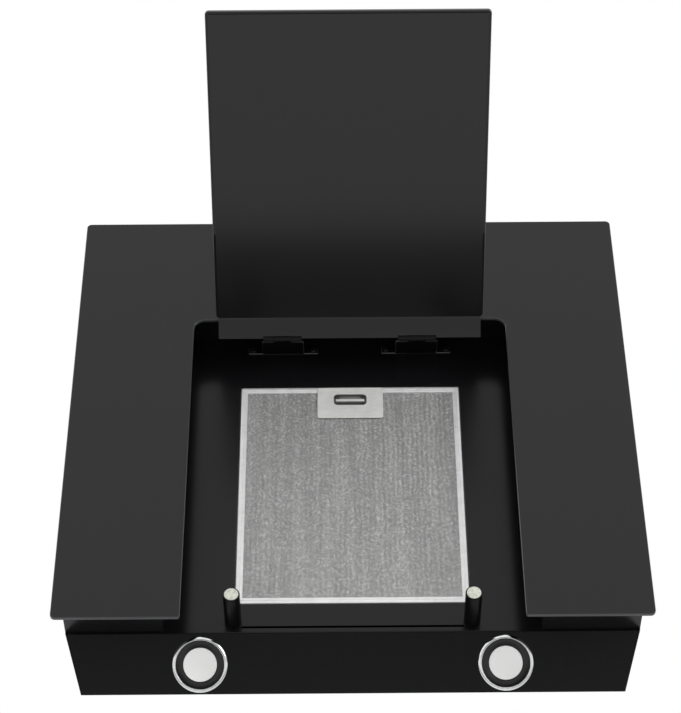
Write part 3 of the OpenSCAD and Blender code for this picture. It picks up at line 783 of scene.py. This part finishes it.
def carve(piece: bpy.types.Object, tool: bpy.types.Object) -> None:
    """Takes a closed cutter away from a piece's mesh and removes the cutter.

    Args:
        piece: the object that is cut.
        tool: the cutter.
    """
    cut = piece.modifiers.new("cut", "BOOLEAN")
    cut.operation = "DIFFERENCE"
    cut.solver = "EXACT"
    cut.object = tool
    bpy.context.view_layer.update()
    shaped = piece.evaluated_get(bpy.context.evaluated_depsgraph_get())
    mesh = bpy.data.meshes.new_from_object(shaped)
    piece.modifiers.clear()
    piece.data = mesh
    bpy.data.objects.remove(tool)


def cutter(outline: Points, z0: float, z1: float) -> bpy.types.Object:
    """A closed prism in the face's axes, to be taken away from a piece.

    Args:
        outline: its outline, anticlockwise.
        z0: height of one end.
        z1: height of the other end.

    Returns:
        The cutter.
    """
    block = Solid()
    block.loft([level(outline, z0), level(outline, z1)])
    return add("cutter", block.mesh("cutter", LAYOUT.face))


def turned(
    name: str, axes: Axes, profile: list[Pair], finish: Finish, node: str, crisp: float = 32.0, count: int = 96
) -> None:
    """Makes a piece by carrying a profile round the Z axis.

    Args:
        name: the piece's name.
        axes: axes with Z along its middle.
        profile: pairs of radius and height.
        finish: its finish.
        node: CAD node that it stands for.
        crisp: angle in degrees past which an edge stays sharp.
        count: number of steps round it.
    """
    solid = Solid()
    solid.net(np.stack([ring(radius, z, count) for radius, z in profile]), closed=True)
    solid.finish(name, axes, [finish], node, crisp=crisp)


# ---- sub-assemblies ----


def glass_plate(name: str, axes: Axes, outline: Points, node: str, body: str) -> None:
    """Makes a sheet of black glass with a polished rim.

    Args:
        name: the piece's name.
        axes: axes with Z out of the glass and its front at nought.
        outline: its outline, anticlockwise.
        node: CAD node that it stands for.
        body: the body that it moves with.
    """
    glass = Solid()
    glass.plate(outline, -LAYOUT.glass_t, 0.0, 0.6)
    glass.finish(name, axes, [BLACK_GLASS, GLASS_EDGE], node, body, crisp=20.0)


@dataclass
class FrontGlass:
    """The leaning front glass, an inverted U open at its lower edge."""

    half: float = 299.0
    height: float = 544.0
    notch_half: float = 171.0
    notch_top: float = 395.0
    notch_r: float = 12.0
    corner_r: float = 5.0
    leg_r: float = 2.5

    def outline(self) -> Points:
        """The U drawn anticlockwise: round the outside, then back up and round the cut-out."""
        leg, side = self.notch_half + self.leg_r, self.notch_half - self.notch_r
        top = self.notch_top - self.notch_r
        return np.concatenate(
            [
                arc(leg, self.leg_r, self.leg_r, 180.0, 90.0, 7),
                rounded_box(self.half, 0.0, self.height, self.corner_r),
                arc(-leg, self.leg_r, self.leg_r, -90.0, 90.0, 7),
                arc(-side, top, self.notch_r, 180.0, -90.0, 17),
                arc(side, top, self.notch_r, 90.0, -90.0, 17),
            ]
        )

    def build(self) -> None:
        """The glass and what bonds it to the body."""
        glass_plate("front_glass", LAYOUT.face, self.outline(), "glass_front", "housing")
        BONDING.dress("glass_bond")


@dataclass
class Flap:
    """The hinged flap: glass, bent steel backing and the leaves of its hinges."""

    half: float = 147.0
    low: float = 0.4
    high: float = 356.4
    corner_r: float = 4.0
    back_half: float = 144.0
    back_low: float = 3.4
    strip: float = 22.5
    bend: float = 28.6
    bend_r: float = 2.2
    relief: float = 2.6
    hinge_x: float = 74.0
    leaf_half: float = 21.0
    step: float = 0.01

    def section(self, length: float) -> Points:
        """The backing seen from the side, as (y, z): along its inner line and back along its outer one.

        Both run flat to the bend, round an arc about the same centre and straight on to the free end.

        Args:
            length: length of the bent strip.

        Returns:
            The closed section.
        """
        bend = math.radians(self.bend)
        setback = self.bend_r * math.tan(bend / 2)
        start, middle = self.high - setback, -LAYOUT.glass_t - LAYOUT.sheet - self.bend_r
        angle = np.linspace(0.0, bend, 7)
        run = (length - setback) * np.linspace(0.1, 1.0, 4)
        flat = np.linspace(self.back_low, start - 1.0, 6)
        lines = []
        for radius in (self.bend_r, self.bend_r + LAYOUT.sheet):
            y, z = start + radius * np.sin(angle), middle + radius * np.cos(angle)
            y = np.r_[flat, y, y[-1] + run * math.cos(bend)]
            z = np.r_[np.full(6, z[0]), z, z[-1] - run * math.sin(bend)]
            lines.append(np.column_stack([y, z]))
        return np.concatenate([lines[0], lines[1][::-1]])

    def build_backing(self) -> None:
        """The backing sheet. Its side line is carried across X, and the strip is shorter at each hinge."""
        whole, short = self.section(self.strip), self.section(self.strip - self.relief)
        stops = [(-self.back_half, whole)]
        for x in (-self.hinge_x, self.hinge_x):
            left, right = x - self.leaf_half, x + self.leaf_half
            stops += [(left - self.step, whole), (left, short), (right, short), (right + self.step, whole)]
        stops.append((self.back_half, whole))
        back = Solid()
        back.loft([np.column_stack([np.full(len(line), x), line]) for x, line in stops])
        back.finish(
            "flap_back_sheet", LAYOUT.flap, [BACKING_PAINT], "flap_backing", "flap", crisp=24.0, bevel=0.25
        )

    def build(self) -> None:
        """The glass plate, its backing and the hinge parts that keep their CAD shape."""
        outline = rounded_box(self.half, self.low, self.high, self.corner_r)
        glass_plate("flap_glass_plate", LAYOUT.flap, outline, "flap_glass", "flap")
        self.build_backing()
        HINGE_PAINT.dress("hinge_leaf_left", "hinge_leaf_right", "hinge_pin_left", "hinge_pin_right")


@dataclass
class HingeBracket:
    """The fixed half of a hinge: a foot on the recess floor, a slanted leaf and a knuckle on the pin."""

    side: Side
    x: float = 74.0
    foot_half: float = 38.5
    foot_low: float = 390.855
    foot_high: float = 399.855
    foot_t: float = 1.5
    leaf_half: float = 23.0
    leaf_len: float = 42.72
    leaf_t: float = 1.5
    slant: float = 18.85
    neck_half: float = 10.0
    shoulder: float = 4.0
    knuckle_r: float = 3.2
    bore: float = 2.01

    def build_foot(self, face: Axes) -> None:
        """The foot, a flat strip on the recess floor."""
        foot = Solid()
        outline = oblong(-self.foot_half, self.foot_half, self.foot_low, self.foot_high)
        foot.plate(outline, -LAYOUT.floor_z, -LAYOUT.floor_z + self.foot_t, 0.45)
        word = self.side.word
        # The foot's arris faces take the lighter edge finish: painted highlights along its edges.
        foot.finish(f"hinge_foot_{word}", face, [HINGE_PAINT, HINGE_EDGE_HIGHLIGHT], f"hinge_bracket_{word}")

    def build_web(self, hinge: Axes) -> None:
        """The leaf: half an outline, wide below and narrow at the knuckle, mirrored and set on the slant."""
        wide, neck, top = self.leaf_half, self.neck_half, -self.knuckle_r - self.shoulder
        low, high = -self.leaf_len + 1.0, -self.knuckle_r + 0.4
        half = np.array([[wide, low], [wide, top - 1.0], [wide - 1.0, top], [neck, top], [neck, high]])
        web = Solid()
        web.plate(np.concatenate([half, half[::-1] * (-1.0, 1.0)]), -self.leaf_t / 2, self.leaf_t / 2, 0.3)
        slanted = hinge.turned(self.slant + 90.0)
        # The leaf's arris faces take the lighter edge finish: painted highlights along its edges.
        web.finish(f"hinge_web_{self.side.word}", slanted, [HINGE_PAINT, HINGE_EDGE_HIGHLIGHT])

    def build_knuckle(self, hinge: Axes) -> None:
        """The knuckle: rings about X from its bore over its rounded ends and back."""
        neck, outer, inner = self.neck_half, self.knuckle_r, self.knuckle_r - 0.3
        stops = ((-neck, inner), (-neck + 0.3, outer), (neck - 0.3, outer), (neck, inner))
        rings = [(-neck, self.bore), *stops, (neck, self.bore), (-neck, self.bore)]
        knuckle = Solid()
        knuckle.loft([ring(radius, at, 32)[:, [2, 0, 1]] for at, radius in rings], caps=False)
        knuckle.finish(f"hinge_knuckle_{self.side.word}", hinge, [HINGE_PAINT], crisp=25.0)

    def build(self) -> None:
        """All of one bracket."""
        face = LAYOUT.face.moved(x=self.side.value * self.x)
        hinge = face.moved(y=LAYOUT.pivot_y, z=LAYOUT.pivot_z)
        self.build_foot(face)
        self.build_web(hinge)
        self.build_knuckle(hinge)


@dataclass
class Post:
    """A post that holds the shut flap by the magnet in its tip."""

    side: Side
    radius: float = 8.5
    tip: float = -5.3
    magnet_r: float = 7.2
    magnet_t: float = 3.0
    round_r: float = 0.7

    def build(self) -> None:
        """The moulded post, its side line turned about its axis, and the magnet seated in it."""
        word = self.side.word
        axes = LAYOUT.face.moved(self.side.value * LAYOUT.post_x, LAYOUT.post_y)
        top, seat, edge = self.tip - 0.4, self.tip - self.magnet_t, self.magnet_r
        curve = arc(self.radius - self.round_r, top - self.round_r, self.round_r, 0.0, 90.0, 6)
        foot = [(0.0, -LAYOUT.floor_z), (self.radius, -LAYOUT.floor_z), (self.radius, -30.0)]
        post = [*foot, *curve, (edge + 0.1, top), (edge + 0.06, seat), (0.0, seat)]
        turned(f"stop_post_{word}", axes, post, POST_PLASTIC, f"post_{word}", count=64)
        rim = [(edge, self.tip - 0.35), (edge - 0.12, self.tip - 0.12), (edge - 0.4, self.tip)]
        disc = [(0.0, seat + 0.02), (edge, seat + 0.02), *rim, (0.0, self.tip)]
        turned(f"magnet_disc_{word}", axes, disc, MAGNET, f"post_magnet_{word}", count=64)


@dataclass
class GreaseFilter:
    """The grease filter: grooved border, rippled expanded mesh, grip plate and sliding latch."""

    half: float = 119.5
    low: float = 53.5
    high: float = 341.5
    depth: float = 9.0
    border: float = 7.0
    ripple: float = 0.3
    ripple_pitch: float = 5.2
    mesh_t: float = 0.22
    latch_half: float = 36.0
    latch_low: float = 298.0
    latch_t: float = 0.8
    slot_half: float = 18.0
    slot_low: float = 316.2
    slot_high: float = 331.6
    slot_r: float = 4.5
    bar_half: float = 12.0
    bar_low: float = 321.9
    bar_t: float = 1.5
    slide_z: float = -57.5
    play: float = 0.3
    seed: int = 11

    @property
    def top(self) -> float:
        """Height of the border's front."""
        return -LAYOUT.floor_z

    def channel(self, low: float, high: float) -> bpy.types.Object:
        """A cutter for the way that the bar slides in, from low to high along the face."""
        half = self.bar_half + self.play
        outline = oblong(-half, half, low, high)
        return cutter(outline, self.slide_z - self.bar_t - self.play, self.slide_z + self.play)

    def build_border(self) -> None:
        """The border: a channel section with a pressed groove, carried round the mitred rectangle."""
        top, base, sheet = self.top, self.top - self.depth, LAYOUT.sheet
        groove = [(3.0, top), (3.35, top - 0.45), (3.75, top - 0.45), (4.1, top), (6.5, top)]
        section = [(0.0, base), (0.0, top - 0.7), (0.2, top - 0.2), (0.7, top), *groove, (6.85, top - 0.15)]
        section += [(self.border, top - 0.5), (self.border, top - sheet), (sheet, top - sheet)]
        section += [(sheet, base + sheet), (self.border, base + sheet), (self.border, base)]
        rings = []
        for into, z in section:
            corner = max(1.4 - into, 0.25)
            rings.append(level(rounded_box(self.half - into, self.low + into, self.high - into, corner, 4), z))
        rim = Solid()
        rim.loft([*rings, rings[0]], caps=False)
        slot = self.channel(300.0, self.high + 1.0)
        rim.finish("filter_border", LAYOUT.face, [FRAME_METAL], "filter_frame", cutters=(slot,))

    def build_mesh(self) -> None:
        """The front mesh: a sheet whose height ripples across X in uneven columns.

        The height is the ripple times the cosine of the place across, whose phase wanders by a few summed
        sine waves along the sheet, plus a slow sag between the borders.
        """
        into = LAYOUT.sheet + 0.4
        across = np.linspace(-self.half + into, self.half - into, 281)
        x, y = np.meshgrid(across, np.linspace(self.low + into, self.high - into, 61))
        rng = np.random.default_rng(self.seed)
        drift, lift = np.zeros_like(x), np.zeros_like(x)
        for wave in (31.0, 53.0, 97.0):
            a, b, c = rng.uniform(0.0, math.tau, 3)
            drift += 0.9 * np.sin(math.tau * y / wave + a) * np.sin(math.tau * x / (2.6 * wave) + b)
            lift += 0.05 * np.sin(math.tau * x / wave + c) * np.sin(math.tau * y / (1.7 * wave) + a)
        ripple = self.ripple * np.cos(math.tau * x / self.ripple_pitch + drift)
        edge = np.minimum(np.minimum(x + self.half, self.half - x), np.minimum(y - self.low, self.high - y))
        soft = np.clip((edge - self.border) / 6.0, 0.0, 1.0)
        top = self.top - LAYOUT.sheet - 0.12 + (ripple - self.ripple + lift) * soft
        upper, lower = np.stack([x, y, top], axis=-1), np.stack([x, y, top - self.mesh_t], axis=-1)
        mesh = Solid()
        mesh.net(upper)
        mesh.net(lower)
        for side in (np.s_[0], np.s_[-1], np.s_[:, 0], np.s_[:, -1]):
            mesh.net(np.stack([upper[side], lower[side]]))
        half = self.slot_half + 4.2
        pocket = cutter(oblong(-half, half, self.slot_low - 6.2, self.high + 2.0), -90.0, 0.0)
        mesh.finish(
            "filter_mesh_sheet", LAYOUT.face, [MESH_METAL], "filter_mesh_front", crisp=60.0, cutters=(pocket,)
        )
        # The inner layers take the darker copy of the mesh: painted shade behind the front mesh.
        SHADED_CORE_METAL.dress("filter_core", "filter_mesh_back")

    def build_plate(self) -> None:
        """The grip plate: rings of its outline up over a pressed rim, with the finger slot cut through."""
        base, top = self.top, self.top + self.latch_t
        outline = rounded_box(self.latch_half, self.latch_low, self.high - 0.5, 2.2)
        rim = ((0.25, top - 0.15), (0.55, top), (1.5, top), (1.8, top - 0.28))
        sides = [level(outline, base + 0.02), level(outline, base + 0.25)]
        plate = Solid()
        plate.loft(sides + [level(inset(outline, into), z) for into, z in rim])
        slot = rounded_box(self.slot_half, self.slot_low, self.slot_high, self.slot_r, 12)
        hole = cutter(slot, base - 3.0, base + 4.0)
        plate.finish("grip_plate", LAYOUT.face, [LATCH_STEEL], "latch_plate", crisp=24.0, cutters=(hole,))

    def build_pocket(self) -> None:
        """The pocket behind the slot, a box with thin walls and a way through for the bar."""
        half, low, high = self.slot_half + 3.0, self.slot_low - 5.0, self.high - self.border - 0.2
        base = self.slide_z - 3.0
        box = oblong(-half, half, low, high)
        pocket = Solid()
        pocket.loft([level(box, base), level(box, self.top)])
        inside = cutter(inset(box, 1.0), base + 1.0, self.top + 1.0)
        cutters = (inside, self.channel(low + 3.0, high + 1.0))
        # The pocket takes the darker copy of the latch steel: painted shade inside it.
        pocket.finish("finger_pocket", LAYOUT.face, [SHADED_POCKET_STEEL], crisp=30.0, cutters=cutters)

    def build_slider(self) -> None:
        """The sliding bar and the finger tab standing on its end."""
        back, bar = self.slide_z - self.bar_t, Solid()
        blade = oblong(-self.bar_half, self.bar_half, self.bar_low + 1.0, self.high + 3.0)
        bar.plate(blade, back, self.slide_z, 0.2, flat=1)
        tab = rounded_box(self.slot_half - 2.0, self.bar_low, self.bar_low + 4.0, 0.8, 4)
        bar.plate(tab, back, self.top - 0.4, 0.5)
        # The blade and the tab's sides take the darker copy of the latch steel: painted shade in the pocket.
        bar.finish("latch_bar", LAYOUT.face, [LATCH_STEEL, SHADED_POCKET_STEEL], "latch_slider", "latch", crisp=30.0)
        BRIGHT_STEEL.dress("latch_spring")

    def build(self) -> None:
        """All of the filter."""
        self.build_border()
        self.build_mesh()
        self.build_plate()
        self.build_pocket()
        self.build_slider()


@dataclass
class Lamp:
    """A round lamp in the lower panel: chrome ring, black reflector and frosted lens."""

    side: Side
    x: float = 154.0
    y: float = -32.0
    ring_r: float = 28.0
    ring_in: float = 24.5
    sleeve: float = 0.5
    lens_r: float = 17.0

    @property
    def bezel(self) -> list[Pair]:
        """The ring: its height falls outwards as a power of a sine, and a sleeve goes down its inside."""
        share, bore = np.linspace(0.0, 1.0, 9), self.ring_in + self.sleeve
        slope = self.ring_r - share * (self.ring_r - self.ring_in - 0.7)
        crown = np.column_stack([slope, 0.25 + 1.75 * np.sin(share * math.pi / 2) ** 0.85])
        inner = arc(bore, 1.5, self.sleeve, 90.0, 90.0, 5)
        flange = [(bore, -5.0), (bore, 0.0), (self.ring_r, 0.0)]
        return [*flange, *crown, *inner, (self.ring_in, -5.0), (bore, -5.0)]

    @property
    def dish(self) -> list[Pair]:
        """The reflector: a shallow curved dish from the ring down to the lens, with three fine steps."""
        lens, edge = self.lens_r + 0.02, self.ring_in - 0.05
        share, steps = np.linspace(0.0, 1.0, 13), np.arange(13) % 3 == 2
        across = edge - 1.0 - share * (edge - 1.6 - self.lens_r)
        curve = np.column_stack([across, 0.75 - 1.75 * share**1.6 - 0.12 * steps])
        return [(lens, -4.2), (edge, -4.2), (edge, 0.8), (edge - 0.7, 0.8), *curve, (lens, -1.05), (lens, -4.2)]

    @property
    def window(self) -> list[Pair]:
        """The lens: a disc with a softly rounded raised rim."""
        edge = self.lens_r
        rim = [(edge - 0.25, -1.0), (edge - 0.7, -0.95), (edge - 1.1, -1.2), (edge - 1.4, -1.3)]
        return [(0.0, -3.2), (edge - 0.02, -3.2), (edge - 0.02, -1.25), *rim, (0.0, -1.22)]

    def build(self) -> None:
        """All of one lamp."""
        word = self.side.word
        axes = LAYOUT.lamp.moved(self.side.value * self.x, self.y)
        turned(f"lamp_bezel_{word}", axes, self.bezel, CHROME, f"lamp_ring_{word}", 40.0)
        turned(f"lamp_dish_{word}", axes, self.dish, LAMP_BLACK, f"lamp_reflector_{word}", 50.0)
        turned(f"lamp_window_{word}", axes, self.window, LENS, f"lamp_lens_{word}", 60.0)
        CASTING.dress(f"lamp_body_{word}")
        BOARD.dress(f"lamp_board_{word}")


@dataclass
class Outlet:
    """The outlet collar on the top, with a rolled bead for the duct clamp."""

    inner: float = 72.0
    wall: float = 2.0
    height: float = 60.0
    flange: float = 13.0
    bead_z: float = 47.0
    bead_half: float = 3.0
    bead: float = 1.3

    def build(self) -> None:
        """The collar. The bead is one squared cosine wave of the wall's radius, the same inside and out."""
        rise = np.linspace(-1.0, 1.0, 13)
        swell = self.bead * np.cos(rise * math.pi / 2) ** 2
        inner, outer, high = self.inner, self.inner + self.wall, self.height
        rim = outer + self.flange
        bead = np.column_stack([swell, self.bead_z + self.bead_half * rise])
        foot = [(inner, 0.0), (rim, 0.0), (rim, 1.2), (rim - 0.4, 1.5), (outer + 1.6, 1.5), (outer + 0.5, 2.0)]
        lip = [(outer, high - 0.6), (outer - 0.5, high), (inner + 0.5, high), (inner, high - 0.6)]
        inside = bead[::-1] + (inner, 0.0)
        profile = [*foot, (outer, 3.1), *(bead + (outer, 0.0)), *lip, *inside, (inner, 0.0)]
        axes = LAYOUT.wall.moved(y=-LAYOUT.blower_o, z=LAYOUT.body_h)
        turned("outlet_collar_beaded", axes, profile, DAMPER, "outlet_collar", 40.0)


@dataclass
class Gland:
    """The cable gland: hexagon body, domed cap with grips, thread and lock nut under the sheet."""

    x: float = -198.5
    o: float = 24.0
    hex_r: float = 12.0
    cap_r: float = 9.0
    thread_r: float = 7.9
    bore: float = 4.5
    count: int = 72

    def build(self) -> None:
        """The gland, as rings from the cap's top over the body and down the thread."""
        cap = self.cap_r * (1.0 - 0.035 * (np.cos(18 * around(self.count)) > 0.3))
        body = hexagon(self.hex_r * math.cos(math.tau / 12), self.count)
        low, thread, bore = np.minimum(body, self.hex_r - 1.0), self.thread_r, self.bore
        bands = [(bore, 13.0), (bore + 1.6, 13.0), (0.86 * cap, 12.3), (0.97 * cap, 10.8), (cap, 9.0)]
        bands += [(cap, 5.2), (0.94 * self.cap_r, 5.0), (np.minimum(body, self.hex_r - 1.2), 5.0)]
        bands += [(body, 4.3), (body, 0.5)]
        bands += [(low, 0.0), (thread, 0.0), (thread, -1.0), (low, -1.0), (body, -1.6), (body, -5.5)]
        bands += [(thread, -6.0), (0.94 * thread, -6.6), (thread, -7.2), (0.94 * thread, -7.8), (thread, -8.4)]
        bands += [(0.93 * thread, -9.0), (bore, -9.0), (bore, 13.0)]
        gland = Solid()
        gland.loft([ring(radius, z, self.count) for radius, z in bands], caps=False)
        axes = LAYOUT.wall.moved(x=self.x, y=-self.o, z=LAYOUT.body_h)
        gland.finish("cable_gland_hex", axes, [GLAND], "cable_gland", crisp=28.0)


@dataclass
class Screws:
    """The pan-head screws with hexagon sockets, all in one piece."""

    hinge_x: tuple[float, ...] = (-107.5, -40.5, 40.5, 107.5)
    hinge_y: float = 395.855
    seat_t: float = 1.5
    collar_r: float = 81.0
    lid_x: tuple[float, float] = (-255.0, -142.0)
    lid_v: tuple[float, float] = (337.66, 410.66)
    lid_o: float = 47.5
    count: int = 24

    def screw(self, solid: Solid, axes: Axes, head: float, rise: float, shank: float, length: float) -> None:
        """One screw, as rings from the socket's floor over the domed head and down the shank.

        Args:
            solid: the piece that it joins.
            axes: axes with Z along the screw and the head's seat at nought.
            head: radius of the head.
            rise: height of the head.
            shank: radius of the shank.
            length: length of the shank.
        """
        socket = hexagon(0.38 * head, self.count)
        bands = [(0.05, 0.35 * rise), (socket, 0.4 * rise), (socket * 1.02, 0.96 * rise), (0.55 * head, rise)]
        bands += [(0.82 * head, 0.86 * rise), (0.97 * head, 0.5 * rise), (head, 0.0), (shank, 0.0)]
        bands += [(shank, -length + 0.5), (shank * 0.6, -length)]
        solid.loft([axes.place(ring(radius, z, self.count)) / MM for radius, z in bands])

    def build(self) -> None:
        """Every screw at its place."""
        screws = Solid()
        seat = LAYOUT.face.moved(y=self.hinge_y, z=-LAYOUT.floor_z + self.seat_t)
        for x in self.hinge_x:
            self.screw(screws, seat.moved(x=x), 3.2, 1.6, 1.9, 6.0)
        for x, y in arc(0.0, -LAYOUT.blower_o, self.collar_r, 45.0, 270.0, 4):
            self.screw(screws, LAYOUT.wall.moved(x, y, LAYOUT.body_h + self.seat_t), 3.5, 2.0, 1.9, 7.0)
        for x in self.lid_x:
            for v in self.lid_v:
                self.screw(screws, LAYOUT.wall.moved(x, -self.lid_o, v).turned(90.0), 3.0, 1.6, 1.4, 8.0)
        under = LAYOUT.face.moved(y=LAYOUT.post_y, z=-LAYOUT.floor_z - LAYOUT.sheet).turned(180.0)
        for side in Side:
            self.screw(screws, under.moved(x=side.value * LAYOUT.post_x), 3.5, 2.0, 1.45, 10.0)
        screws.finish("screws_pan_head", Axes(), [SCREW_BLACK], "fixing_screws", crisp=28.0)


@dataclass
class Body:
    """The sheet-metal body and everything inside it, on the CAD's own shapes."""

    def build(self) -> None:
        """Dresses the nodes that keep their CAD shape."""
        SIDE_PAINT.dress("side_panel_left", "side_panel_right", "top_panel")
        FLOOR_PAINT.dress("front_panel", "carrier_left", "carrier_right", "carrier_top")
        LAMP_PAINT.dress("lamp_panel")
        ZINC_SHEET.dress("back_panel", "filter_tray", "blower_casing", "motor_bracket")
        BRIGHT_STEEL.dress("motor_shaft", "lamp_clips", "damper_pins")
        CASTING.dress("motor_body")
        IMPELLER.dress("impeller")
        DAMPER.dress("blower_inlets", "damper_front", "damper_rear")
        RUBBER.dress("mount_rubbers")
        BOX_PLASTIC.dress("electronics_box", "electronics_lid")
        BOARD.dress("control_board", "touch_board")
        CAPACITOR.dress("capacitor")
        LOG.info("body: CAD shapes dressed")


# ---- studio ----


@dataclass
class Studio:
    """Pale floor, white surroundings, soft lights and the camera, in metres."""

    focal: float = 112.38
    camera_at: Triple = (-0.0121, -0.86, -2.3922)
    camera_turn: Triple = (166.264, 0.135, 0.372)
    aim: Triple = (0.0, -0.2, -0.1)
    floor_z: float = -2.75

    def build_world(self) -> None:
        """Even white surroundings."""
        world = bpy.data.worlds.new("studio")
        world.use_nodes = True
        background = world.node_tree.nodes["Background"].inputs
        background["Color"].default_value = (1.0, 1.0, 1.0, 1.0)
        background["Strength"].default_value = 1.0
        bpy.context.scene.world = world
        bpy.context.scene.view_settings.view_transform = "Standard"

    def build_card(
        self, name: str, corner: Triple, wide: float, deep: Triple, grey: float, rough: float = 0.9
    ) -> bpy.types.Object:
        """A flat stage card.

        Args:
            name: its name.
            corner: the point that it starts at.
            wide: its width along X.
            deep: its other side, as a step from the corner.
            grey: how light it is.
            rough: its roughness.

        Returns:
            The card.
        """
        start, across, down = np.array(corner), np.array([wide, 0.0, 0.0]), np.array(deep)
        mesh = bpy.data.meshes.new(name)
        mesh.from_pydata([start, start + across, start + across + down, start + down], [], [(0, 1, 2, 3)])
        paper = Seamless(name, "card", (grey, grey, grey), rough, grain=4.0)
        mesh.materials.append(paper.material())
        card = add(name, mesh)
        return card

    def build_light(self, name: str, at: Triple, size: float, power: float) -> None:
        """A square soft light facing the hood's middle.

        Args:
            name: its name.
            at: its place.
            size: length of its side.
            power: its power in watts.
        """
        lamp = bpy.data.lights.new(name, "AREA")
        lamp.size = size
        lamp.energy = power
        light = add(name, lamp)
        light.location = at
        way = np.array(self.aim) - np.array(at)
        flat = math.hypot(way[0], way[1])
        light.rotation_euler = (math.atan2(flat, -way[2]), 0.0, math.atan2(way[1], way[0]) - math.pi / 2)

    def build_camera(self) -> None:
        """The camera below and in front of the hood, square to its lamp panel."""
        lens = bpy.data.cameras.new("camera")
        lens.lens = self.focal
        lens.sensor_width = 36.0
        lens.clip_end = 50.0
        camera = add("camera", lens)
        camera.location = self.camera_at
        camera.rotation_euler = tuple(math.radians(a) for a in self.camera_turn)
        bpy.context.scene.camera = camera

    def build(self) -> None:
        """Camera, world, floor, cards and lights."""
        self.build_camera()
        self.build_world()
        self.build_card("studio_floor", (-15.0, -15.0, self.floor_z), 30.0, (0.0, 30.0, 0.0), 0.8, 0.8)
        low = self.floor_z + 0.2
        cards = [
            self.build_card("studio_card", (-1.0, -2.3, low), 2.0, (0.0, 1.2, 0.0), 0.02),
            # The shade card is painted shade: a grey sheet under the hood that stands for the shaded surface
            # there, seen only in reflections.
            self.build_card("studio_shade", (-0.6, 0.01, -0.34), 1.2, (0.0, 0.0, -0.17), 0.17),
        ]
        for card in cards:
            card.visible_camera = False
            card.visible_shadow = False
        self.build_light("soft_right", (1.8, -1.6, -0.6), 1.0, 14.0)
        self.build_light("soft_left", (-1.9, -1.2, 0.9), 1.2, 8.0)


def main() -> None:
    """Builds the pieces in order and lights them."""
    logging.basicConfig(level=logging.INFO, format="%(name)s %(message)s")
    Studio().build()
    Body().build()
    FrontGlass().build()
    Flap().build()
    for side in Side:
        HingeBracket(side).build()
        Post(side).build()
        Lamp(side).build()
    GreaseFilter().build()
    Outlet().build()
    Gland().build()
    Screws().build()


if __name__ == "__main__":
    main()
